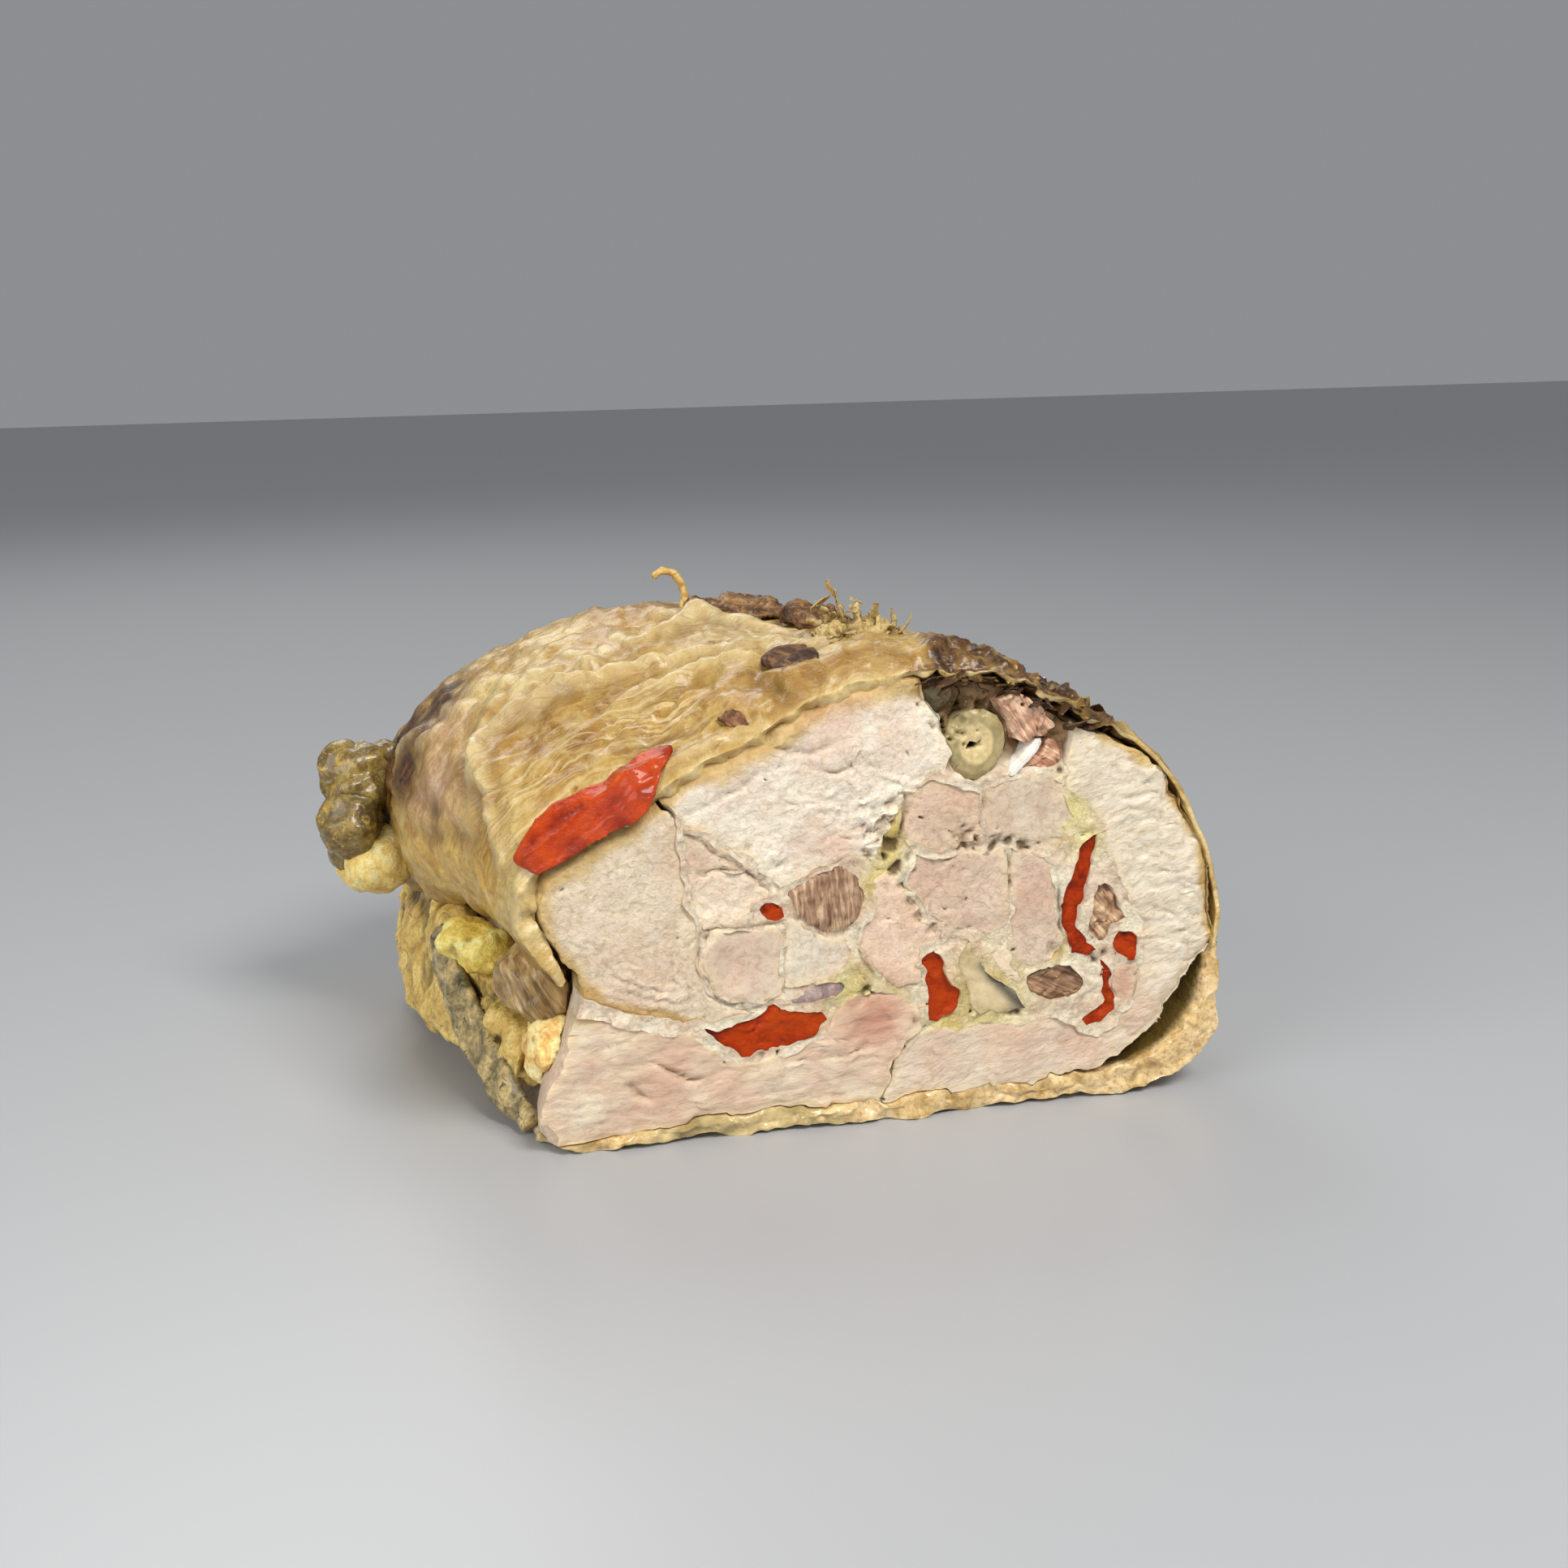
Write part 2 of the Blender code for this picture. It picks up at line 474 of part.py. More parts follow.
left = layer("left_breast", LEFT_BREAST, [], (226, 212, 196), 0.5)
top = layer("top_breast", TOP_BREAST, [LEFT_BREAST], (228, 214, 194), 0.5)
right = layer("right_breast", RIGHT_BREAST, [TOP_BREAST, UNDER_SKIN], (228, 212, 184), 0.5)
thigh = layer("thigh_layer", THIGH, [RIGHT_BREAST, LEFT_BREAST, UNDER_SKIN],
              (216, 190, 164), 0.45)
under = layer("under_skin", UNDER_SKIN, [], (206, 186, 134), 0.35, body=no_inset)
pocket = chunk("pocket", POCKET, -3, 44, taper=((0.4, 0.95), (0.8, 0.72), (1.0, 0.4)),
               steps=1, group=cutters)
boolean(right, "DIFFERENCE", [pocket])

# The binding fills what the chunks leave.
binding = layer("binding", FILLING, [LEFT_BREAST, TOP_BREAST, RIGHT_BREAST, THIGH, UNDER_SKIN],
                (214, 190, 140), 0.4)
holes = []
for name, (points, front, depth, colour, rough) in CHUNKS.items():
    tail = END if depth < 60 else ((0.88, 1.0), (1.0, 0.85))
    steps = 1 if len(points) > 9 else 2
    piece = chunk(name, points, front, depth, taper=tail, steps=steps, colour=colour, rough=rough)
    if name in TRIMMED:
        for around in TRIMMED[name]:
            boolean(piece, "DIFFERENCE", [chunk("grown", around, -6, 156, grow=GAP, steps=1,
                                                group=cutters)])
    holes.append(chunk(name + "_hole", points, -2 if front >= 0 else front - 2, depth,
                       grow=GAP, taper=tail, steps=steps, group=cutters))


def olive(name, u, z, ru, rz, depth, first, colour, grow=0.0, **kw):
    """A whole olive cut across, its cut face at the front and its end rounded."""
    rings = []
    for share in (0.0, 0.45, 0.8, 1.0):
        d = depth * share + grow * 1.5 if share else first
        size = math.sqrt(max(1 - (share * 0.97) ** 2.4, 0))
        flat = []
        for k in range(16):
            a = -math.tau * k / 16
            r = 1 + 0.035 * math.sin(2 * a + 0.6) + 0.02 * math.sin(3 * a)
            flat.append(((ru * size * r + grow) * math.cos(a), (rz * size * r + grow) * math.sin(a)))
        rings.append([place(u + p + LEAN * d, d, z + q) for p, q in flat])
    return loft(name, rings, colour=colour, rough=0.35, **kw)


ring_olive = olive("olive_ring", 77.9, 77.1, 5.9, 7.0, 13, 0.2, (158, 148, 106))
holes.append(olive("olive_hole", 77.9, 77.1, 5.9, 7.0, 13, -2.0, (0, 0, 0), grow=GAP * 1.3,
                   group=cutters))
stone = chunk("stone_hole", [(75.6, 76.2), (76.6, 77.9), (78, 77.6), (79.2, 78.6), (79, 76.6),
                             (77.2, 76)], -1, 7.5, taper=((0.6, 0.9), (1.0, 0.5)), group=cutters)
boolean(ring_olive, "DIFFERENCE", [stone])
boolean(ring_olive, "DIFFERENCE", [chunk("grown", TOP_BREAST, -6, 156, grow=GAP, steps=1,
                                         group=cutters)])
for hole in holes:
    boolean(binding, "DIFFERENCE", [hole])

print("binding bodies", keep_largest(binding))

# The skin is the shell around the layers, open below and at the cut face.
def skin_hollow(i, d):
    """The hollow inside the skin, wide open where the roll is bare."""
    thick = skin_at(i, d)
    return thick - GAP if thick else -1.5


skin = envelope("skin", lambda i, d: 0.0, colour=(206, 172, 104), rough=0.4)

def shard(base, tip, width, thick, turn):
    """A thin crisp flake: a flattened pyramid from its root to its tip."""
    base, tip = place(*base), place(*tip)
    axis = tip - base
    bm = bmesh.new()
    bmesh.ops.create_cone(bm, cap_ends=True, segments=4, radius1=width * MM,
                          radius2=width * MM * 0.22, depth=axis.length)
    flatten = Matrix.Diagonal((1, thick / width, 1, 1))
    aim = axis.to_track_quat("Z", "Y").to_matrix().to_4x4()
    spin = Matrix.Rotation(math.radians(turn), 4, "Z")
    bm.transform(Matrix.Translation((base + tip) / 2) @ aim @ spin @ flatten)
    return new_object("shard", bm, group=cutters)


# Crisp flakes stand up along the browned edge over the recess.
flakes = []
for k in range(13):
    share = (k + random.uniform(0.1, 0.9)) / 13
    at = 64 + 40 * share
    rise = 93.6 - 1.2 * share - 14.4 * share ** 2.2
    deep = random.uniform(2.2, 8.0)
    up = random.uniform(2.0, 4.4)
    side = random.uniform(-3.5, 3.5)
    flakes.append(shard((at, deep, rise - 1.4), (at + side + 1, deep + random.uniform(-2, 3),
                        rise + up), random.uniform(1.6, 2.8), random.uniform(0.6, 1.0),
                        random.uniform(0, 180)))
boolean(skin, "UNION", flakes, "MANIFOLD")
boolean(skin, "DIFFERENCE", [envelope("hollow", skin_hollow, front=-4, end=SKIN_END - GAP,
                                      group=cutters)])
boolean(skin, "DIFFERENCE", [chunk("under_clear", UNDER_SKIN, -6, 156, grow=GAP, steps=1,
                                   group=cutters)])


def swollen(obj, by=GAP):
    """A copy grown along its normals, to cut a neighbour clear of it."""
    twin = copy_of(obj)
    bm = bmesh.new()
    bm.from_mesh(twin.data)
    bmesh.ops.remove_doubles(bm, verts=bm.verts, dist=0.00001)
    bm.normal_update()
    moves = [v.normal * by * MM * 1.15 for v in bm.verts]
    for vert, move in zip(bm.verts, moves):
        vert.co += move
    bm.to_mesh(twin.data)
    bm.free()
    return twin


grown_roll = envelope("grown_roll", lambda i, d: -GAP, front=-GAP, end=-GAP, group=cutters)


def lump(middle, radii, turn, seed, rough=0.16, level=3, **kw):
    """A rounded, uneven piece: centre and radii in mm, turned about its centre."""
    bm = bmesh.new()
    bmesh.ops.create_icosphere(bm, subdivisions=level, radius=1.0)
    for vert in bm.verts:
        bump = noise.noise(vert.co * 1.3 + Vector((seed, seed * 0.7, 3))) * rough
        bump += noise.noise(vert.co * 3.1 + Vector((2, seed, seed))) * rough * 0.5
        vert.co *= 1 + bump
    rot = Matrix.Rotation(math.radians(turn[2]), 4, "Z") @ Matrix.Rotation(
        math.radians(turn[1]), 4, "Y") @ Matrix.Rotation(math.radians(turn[0]), 4, "X")
    bm.transform(Matrix.Translation(place(*middle)) @ rot
                 @ Matrix.Diagonal((*(r * MM for r in radii), 1)))
    return new_object(kw.pop("name", "lump"), bm, **kw)


def settle(obj, clear=(), floor=False, body=True):
    """Fit an outside piece against the roll, its neighbours and the table."""
    if body:
        boolean(obj, "DIFFERENCE", [copy_of(grown_roll)], "MANIFOLD")
    for other in clear:
        boolean(obj, "DIFFERENCE", [swollen(other)], "MANIFOLD")
    if floor:
        under = chunk("floor", [(-200, -60), (200, -60), (200, 0), (-200, 0)], -60, 220,
                      steps=1, group=cutters)
        boolean(obj, "DIFFERENCE", [under])
    return obj


def strap(name, path, widths, thick, flat_to, **kw):
    """A flat strap along a path: each station has a width and the side it faces."""
    rings = []
    for i, p in enumerate(path):
        a = place(*path[max(i - 1, 0)])
        b = place(*path[min(i + 1, len(path) - 1)])
        along = (b - a).normalized()
        face = Vector(flat_to[min(i, len(flat_to) - 1)])
        side = along.cross(face).normalized()
        up = side.cross(along).normalized()
        at = place(*p)
        ring_here = []
        for k in range(10):
            t = math.tau * k / 10
            w = math.copysign(abs(math.cos(t)) ** 0.8, math.cos(t)) * widths[i] / 2
            h = math.copysign(abs(math.sin(t)) ** 0.7, math.sin(t)) * thick / 2
            ring_here.append(at + side * w * MM + up * h * MM)
        rings.append(ring_here)
    return loft(name, rings, **kw)


def sight_on(tree, u, z):
    """Where the line from the viewpoint through (u, z) of the face meets a surface."""
    start = place(EYE.x, EYE.y, EYE.z)
    way = (place(u, 0, z) - start).normalized()
    hit = tree.ray_cast(start, way)
    return hit[0], hit[1]


def draped(name, ribs, thick, lift, over, across=4, **kw):
    """A thin piece lying on the roll, given as ribs of its outline as seen from the front."""
    bm = bmesh.new()
    bm.from_mesh(over.data)
    tree = BVHTree.FromBMesh(bm)
    bm.free()
    rows = []
    for i, (low, high) in enumerate(ribs):
        row = []
        for k in range(across + 1):
            t = k / across
            p, n = sight_on(tree, low[0] + (high[0] - low[0]) * t, low[1] + (high[1] - low[1]) * t)
            row.append((p, n))
        rows.append(row)
    rings = []
    for i, row in enumerate(rows):
        full = math.sin(math.pi * (i + 0.5) / len(rows)) ** 0.35
        under = [p + n * lift * MM for p, n in row]
        over_pts = []
        for k, (p, n) in enumerate(row):
            round_off = math.sin(math.pi * (k + 0.6) / (across + 1.2)) ** 0.5
            over_pts.append(p + n * (lift + thick * full * round_off) * MM)
        rings.append(under + list(reversed(over_pts)))
    return loft(name, rings, **kw)


# Pieces that lie on the skin or hang beside the roll.
pepper_out = draped("pepper_outside", [
    ((-12.4, 58.6), (-13.2, 60.2)), ((-9.6, 57.4), (-11.4, 63.4)), ((-6, 59), (-8.8, 67)),
    ((-1.5, 61.4), (-5.4, 69.8)), ((3.5, 64), (-0.4, 72)), ((8, 66.4), (5, 74)),
    ((12, 68.4), (8.4, 76.4)), ((14.2, 71.6), (11, 78.6)), ((15.2, 75.6), (13.4, 79.4)),
    ((18, 79), (17.6, 80))], 2.4, 0.8, no_inset, colour=(178, 44, 22), rough=0.2)
settle(pepper_out)
patch_a = draped("tongue_patch", [
    ((35.4, 95.8), (35.4, 97)), ((37.6, 94.6), (37.4, 98)), ((40.4, 94.4), (40.6, 98.9)),
    ((43.4, 95.2), (43.8, 98.6)), ((46.6, 96.6), (46.8, 97.2))], 1.5, 0.6, no_inset,
    colour=(92, 66, 48), rough=0.4)
settle(patch_a)
patch_b = draped("tongue_patch_small", [
    ((26.6, 84.8), (26.8, 86)), ((28.4, 84.4), (28.8, 88)), ((30.6, 84.6), (31, 87.6)),
    ((32.6, 85), (32.7, 85.8))], 1.4, 0.6, no_inset, colour=(112, 74, 56), rough=0.35)
settle(patch_b)
top_a = settle(lump((41.5, 57, 97.2), (11, 8.5, 4.4), (0, 2, -8), 4, 0.2,
                    name="tongue_top", colour=(110, 84, 60)))
top_b = settle(lump((54, 42.5, 96.6), (6.8, 6.4, 4.2), (0, 6, 20), 9, 0.2,
                    name="tongue_top_small", colour=(104, 78, 56)), [top_a])
crisp = lump((60, 21, 97.4), (8.4, 8.2, 2.6), (0, 6, -30), 6, 0.2, name="crisp_shreds",
             colour=(206, 192, 132))
spikes = [shard(b, t, w, 1.0, r) for b, t, w, r in (
    ((58, 25, 97.5), (55.6, 25.5, 106), 3.2, 10), ((57, 24, 98), (51.6, 26, 103.4), 2.4, 60),
    ((60, 23, 98), (59.4, 22, 104.4), 3.0, 100), ((62, 20, 98), (62.6, 21, 101.8), 2.8, 30),
    ((64, 16, 97.6), (67.4, 15, 99.4), 2.4, 80), ((61, 22, 98), (57.6, 18, 103.2), 2.4, 140),
    ((56, 27, 97.4), (50.4, 28, 99.8), 2.2, 20))]
boolean(crisp, "UNION", spikes)
settle(crisp, [top_b])
curl = strap("skin_curl", [(30.2, 64, 97.6), (31.2, 64, 100.4), (30.8, 64, 103.6),
                           (29, 64, 106), (26.4, 63.6, 106.8), (24.2, 63, 105.6)],
             [4.4, 3.2, 3.0, 2.6, 2.2, 1.4], 1.4, [(1, 0, 0.3), (1, 0, 0), (1, 0, 0.3),
                                                  (0.6, 0, 1), (0, 0, 1), (-0.5, 0, 1)],
             colour=(212, 186, 112), rough=0.4)
settle(curl, [top_a])

end_lump = lump((-40.5, 98, 57.5), (8.2, 9.5, 8.0), (10, 15, 0), 3, 0.22, name="end_lump",
                colour=(160, 140, 96))
boolean(end_lump, "UNION", [lump((-44.6, 91.5, 47.6), (5.6, 7, 8.2), (0, 10, 0), 12, 0.16,
                                 group=cutters, level=2)])
settle(end_lump)
end_fat = settle(lump((-38.5, 93, 39.4), (7.4, 8.6, 6.0), (0, -12, 0), 5, 0.25,
                      name="end_fat", colour=(218, 190, 104)), [end_lump])

side_tongue = settle(lump((-9.6, 19, 30), (8.8, 9.6, 7.4), (20, -25, 15), 7, 0.22,
                          name="side_tongue", colour=(134, 116, 88)))
side_fat = settle(lump((-19, 41, 31.6), (8.6, 9, 5.6), (0, 8, 20), 2, 0.25,
                       name="side_fat", colour=(222, 200, 112)), [side_tongue])
side_chunk = settle(lump((-7.6, 12, 17.6), (5.4, 7.6, 7.6), (0, 0, 20), 8, 0.25,
                         name="side_chunk", colour=(186, 150, 98)), [side_tongue])
grey_skin = strap("grey_skin", [(-27.4, 58, 31), (-26, 49, 24), (-23.4, 40, 17.6),
                                (-20, 29, 11.4), (-16, 19, 6.4), (-12.6, 11, 2.6)],
                  [7, 10, 11, 10, 8.6, 6], 2.8, [(-1, -0.3, 0.5)],
                  colour=(128, 126, 110), rough=0.3)
settle(grey_skin, [side_tongue, side_fat, side_chunk], floor=True)
side_meat = strap("side_meat", [(-9.6, 17, 12), (-14.8, 32, 15.4), (-20, 50, 17.6),
                                (-25, 72, 18.6), (-28.4, 96, 18.4), (-29.4, 116, 18)],
                  [10, 16, 24, 30, 33, 22], 12, [(-1, -0.3, 0.2)],
                  colour=(196, 178, 128), rough=0.45)
settle(side_meat, [side_tongue, side_fat, side_chunk, grey_skin, end_fat], floor=True)

for obj in list(cutters.objects):
    bpy.data.objects.remove(obj)
total = 0
for obj in parts.objects:
    bodies = keep_largest(obj)
    obj.data.set_sharp_from_angle(angle=math.radians(35))
    count = sum(len(p.vertices) - 2 for p in obj.data.polygons)
    total += count
    if bodies > 1:
        print(obj.name, "left scraps", bodies)
print("triangles", total)
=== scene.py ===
"""Chicken and beef tongue roll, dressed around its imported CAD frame.

Measures are read in millimetres on the cut face, as in the part's source: u
runs along the face to the right, d back from the face and z up from the table.
"""

import math
import random

import bmesh
import bpy
import numpy as np
from bpy.props import FloatProperty, FloatVectorProperty, IntProperty, PointerProperty
from mathutils import Matrix, Vector
from mathutils.bvhtree import BVHTree
from mathutils.kdtree import KDTree


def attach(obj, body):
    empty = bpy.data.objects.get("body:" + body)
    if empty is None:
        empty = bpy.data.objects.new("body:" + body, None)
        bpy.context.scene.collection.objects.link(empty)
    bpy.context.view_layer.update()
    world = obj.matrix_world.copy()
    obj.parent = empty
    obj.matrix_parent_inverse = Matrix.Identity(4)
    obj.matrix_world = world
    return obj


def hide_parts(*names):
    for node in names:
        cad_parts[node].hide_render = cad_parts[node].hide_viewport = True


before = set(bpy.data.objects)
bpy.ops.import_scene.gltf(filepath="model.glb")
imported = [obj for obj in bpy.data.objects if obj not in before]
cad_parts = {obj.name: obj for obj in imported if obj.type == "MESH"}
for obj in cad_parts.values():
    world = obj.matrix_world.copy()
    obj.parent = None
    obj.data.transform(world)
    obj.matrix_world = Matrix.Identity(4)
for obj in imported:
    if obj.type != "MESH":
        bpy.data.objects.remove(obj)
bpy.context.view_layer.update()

bl_info = {
    "name": "Chicken and beef tongue roll",
    "version": (1, 0, 0),
    "blender": (4, 5, 0),
    "location": "View3D > Sidebar > Roll",
    "description": "Builds a cut roll of chicken, tongue, red pepper and olive piece by piece",
    "category": "Object",
}

MM = 0.001
CENTRE = np.array([40.556, 68.914, 0.0])      # the row's origin, in u, d and z
# The camera: its place in metres, its forward, right and down directions, its roll, its lens
# and its sensor in mm.
EYE = (-0.079916, -0.428604, 0.156800)
LOOK = (Vector((0.20705, 0.95212, -0.22495)), Vector((0.97716, -0.21250, 0.0)),
        Vector((-0.04780, -0.21981, -0.97437)))
ROLL = math.radians(1.3)
LENS = 44.72
SENSOR = 36.0
FRONT = 3.4            # depth in mm over which the cut face's relief fades out


# ---------------------------------------------------------------- noise

def at_lattice(i, seed):
    """Random numbers from -1 to 1 at whole-number lattice points."""
    h = i[..., 0] * 73856093 ^ i[..., 1] * 19349663 ^ i[..., 2] * 83492791 ^ seed * 2654435761
    h = (h ^ (h >> 15)) * 2246822519 & 0xFFFFFFFF
    h = (h ^ (h >> 13)) * 3266489917 & 0xFFFFFFFF
    return ((h ^ (h >> 16)) & 0xFFFF) / 32767.5 - 1.0


TURN = np.array([[0.80, 0.36, -0.48], [-0.60, 0.48, -0.64], [0.0, 0.80, 0.60]])


def lumps(p, size, seed, octaves=2):
    """Smooth noise over points p in mm; size is the width of its largest bumps."""
    total = np.zeros(len(p))
    p = np.asarray(p) / size
    gain = 1.0
    for k in range(octaves):
        i = np.floor(p).astype(np.int64)
        f = p - i
        w = f * f * (3 - 2 * f)
        for corner in range(8):
            step = np.array([corner & 1, corner >> 1 & 1, corner >> 2 & 1])
            share = np.prod(np.where(step, w, 1 - w), axis=1)
            total += gain * share * at_lattice(i + step, seed + k)
        p = p @ TURN * 2.03 + 17.3
        gain *= 0.5
    return total


def ridges(p, size, seed, octaves=2):
    """Noise with sharp creases, from 0 in a crease up to 1."""
    return np.minimum(np.abs(lumps(p, size, seed, octaves)) * 2.2, 1.0)


def blob(p, spots):
    """The strongest of several soft round spots (u, d, z, radius, strength) at each point."""
    out = np.zeros(len(p))
    for u, d, z, radius, strength in spots:
        far = np.sum((p - np.array([u, d, z])) ** 2, axis=1) / radius ** 2
        out = np.maximum(out, strength * np.exp(-far * 1.2))
    return out


def fade(x, low, high):
    """0 below low, 1 above high, smooth between."""
    t = np.clip((x - low) / (high - low), 0, 1)
    return t * t * (3 - 2 * t)


def near_line(q, points):
    """Distance in mm from each row of q to a broken line, and the share along it."""
    best = np.full(len(q), 1e9)
    along = np.zeros(len(q))
    count = len(points) - 1
    for k in range(count):
        a, b = np.array(points[k], float), np.array(points[k + 1], float)
        t = np.clip((q - a) @ (b - a) / max((b - a) @ (b - a), 1e-9), 0, 1)
        far = np.linalg.norm(q - a - t[:, None] * (b - a), axis=1)
        closer = far < best
        best = np.where(closer, far, best)
        along = np.where(closer, (k + t) / count, along)
    return best, along


# ---------------------------------------------------------------- meshes

def mm_of(mesh):
    """A mesh's points as (u, d, z) in mm."""
    co = np.empty(len(mesh.vertices) * 3)
    mesh.vertices.foreach_get("co", co)
    return co.reshape(-1, 3) / MM + CENTRE


def put_mm(mesh, p):
    """Write points given as (u, d, z) in mm back to a mesh."""
    mesh.vertices.foreach_set("co", ((p - CENTRE) * MM).ravel())
    mesh.update()


def metres(p):
    """A point given as (u, d, z) in mm, in the scene's metres."""
    return Vector((np.asarray(p, float) - CENTRE) * MM)


def normals_of(mesh):
    """The normals at a mesh's points."""
    out = np.empty(len(mesh.vertices) * 3)
    mesh.vertices.foreach_get("normal", out)
    return out.reshape(-1, 3)


def set_value(obj, name, values):
    """A number on each point of a piece, for its material to read."""
    old = obj.data.attributes.get(name)
    layer = old or obj.data.attributes.new(name, "FLOAT", "POINT")
    layer.data.foreach_set("value", np.asarray(values, np.float32))


def link(name, mesh):
    """A new object in the scene."""
    obj = bpy.data.objects.new(name, mesh)
    bpy.context.scene.collection.objects.link(obj)
    return obj


def only(obj):
    """Leave just this object selected and active."""
    for other in bpy.context.selected_objects:
        other.select_set(False)
    obj.select_set(True)
    bpy.context.view_layer.objects.active = obj
    return obj


def apply(obj, kind, **settings):
    """Add a modifier and bake it into the mesh."""
    only(obj)
    step = obj.modifiers.new(kind, kind)
    for key, value in settings.items():
        setattr(step, key, value)
    bpy.ops.object.modifier_apply(modifier=step.name)
    return obj


def smooth_shade(obj, angle=50):
    """Smooth shading, apart from edges sharper than the angle in degrees."""
    only(obj)
    bpy.ops.object.shade_smooth_by_angle(angle=math.radians(angle))


def hand_over(obj, material, nodes=()):
    """Finish a piece: its material, its body and the CAD nodes it stands for."""
    obj.data.materials.clear()
    obj.data.materials.append(material)
    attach(obj, "root")
    if nodes:
        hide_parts(*nodes)
    return obj


def copy_node(node, name):
    """A merged copy of a CAD node's mesh as a new object."""
    obj = link(name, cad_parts[node].data.copy())
    obj.data.materials.clear()
    bm = bmesh.new()
    bm.from_mesh(obj.data)
    bmesh.ops.remove_doubles(bm, verts=bm.verts, dist=0.000004)
    bm.to_mesh(obj.data)
    bm.free()
    for layer in list(obj.data.attributes):
        if layer.name in ("custom_normal", "sharp_edge", "sharp_face"):
            obj.data.attributes.remove(layer)
    return obj


def sliced(bm, geom, axis, cuts):
    """Cut geometry with planes square to an axis, at the given places in metres."""
    way = Vector((0, 0, 0))
    way[axis] = 1.0
    for c in cuts:
        co = Vector((0, 0, 0))
        co[axis] = c
        done = bmesh.ops.bisect_plane(bm, geom=geom, dist=1e-6, plane_co=co, plane_no=way)
        geom = done["geom"]
    return geom


def scored(obj, grain=0.62, deep=None):
    """Cut a piece's front into a fine grid and its length into stretches.

    deep is the grid used all over a piece whose sides show too.
    """
    bm = bmesh.new()
    bm.from_mesh(obj.data)
    lo = [min(v.co[k] for v in bm.verts) for k in range(3)]
    hi = [max(v.co[k] for v in bm.verts) for k in range(3)]
    face = -CENTRE[1] * MM
    everything = bm.verts[:] + bm.edges[:] + bm.faces[:]
    depths = [face + d * MM for d in (0.62, 1.3, 2.2, FRONT, 5.5, 9, 15, 24, 38, 56, 80, 105)]
    if deep:
        depths = depths[:5] + list(np.arange(face + 5.5 * MM + deep * MM, hi[1], deep * MM))
    everything = sliced(bm, everything, 1, [d for d in depths if lo[1] < d < hi[1]])
    if deep:
        for axis in (0, 2):
            everything = sliced(bm, everything, axis,
                                np.arange(lo[axis] + 0.3 * MM, hi[axis], deep * MM))
    limit = face + (FRONT + 0.01) * MM
    front = [f for f in bm.faces if all(v.co.y < limit for v in f.verts)]
    geom = list({v for f in front for v in f.verts}) + list({e for f in front for e in f.edges})
    geom += front
    for axis in (0, 2):
        shift = 0.11 if deep else 0.29
        geom = sliced(bm, geom, axis, np.arange(lo[axis] + shift * MM, hi[axis], grain * MM))
    bm.to_mesh(obj.data)
    bm.free()
    return obj


def in_plane(n):
    """Normals with their depth taken out, unit length where they had a side."""
    flat = n.copy()
    flat[:, 1] = 0
    size = np.linalg.norm(flat, axis=1, keepdims=True)
    return np.where(size > 0.25, flat / np.maximum(size, 1e-6), 0)


# Cracks and pits on the cut face: broken lines in (u, z), width and depth in mm.
CRACKS = [
    ([(36, 79.4), (40, 78.2), (44, 77.6), (48.4, 79)], 0.5, 1.0),
    ([(44.6, 74.6), (49, 73.4), (52, 74.2), (55.4, 75.6)], 0.45, 0.9),
    ([(20, 66.8), (27, 70.2), (34, 74), (42, 76.2)], 0.5, 0.7),
    ([(19.2, 64), (25, 59), (30, 55.4), (36.2, 50.4)], 0.5, 0.9),
    ([(11, 17.2), (14.5, 15), (18, 13.2), (21, 12.8)], 0.5, 1.2),
    ([(6.4, 12.6), (7.6, 11), (9.4, 10.2)], 0.8, 1.6),
    ([(36, 15.2), (44, 14.4), (52, 15.4), (58, 16.2)], 0.35, 0.7),
    ([(63.4, 69), (63, 64), (62.4, 60), (61, 57)], 0.5, 0.9),
    ([(79.2, 69), (79.3, 64), (79, 58.4)], 0.4, 0.5),
    ([(64, 55.6), (72, 56), (80, 56.8), (90, 55.8)], 0.6, 0.6),
    ([(84.9, 54), (85.2, 48), (84.8, 40)], 0.4, 0.7),
    ([(22, 33), (25, 28.6), (30, 26.6), (36, 26), (40, 26.4)], 0.5, 0.5),
    ([(38.5, 43), (38.6, 37), (38.6, 31)], 0.45, 0.5),
    ([(22.6, 43.4), (29, 43.4), (34, 43.6), (38.4, 43.2)], 0.45, 0.5),
    ([(20.4, 54.8), (26, 55.6), (32, 55.4)], 0.4, 0.6),
    ([(21.8, 46), (21, 38.6), (23.6, 31.4), (30, 27.4)], 0.4, 0.5),
    ([(53.6, 42), (53.4, 36.4), (57, 30.4), (63, 27.4)], 0.5, 0.5),
    ([(95.8, 30), (95.9, 40), (95.4, 50)], 0.5, 0.6),
    ([(58.5, 5), (58.7, 12), (62, 17.2)], 0.35, 0.4),
    ([(126.6, 28.4), (121, 21), (114, 13.4), (106, 8.6)], 0.4, 0.3),
]
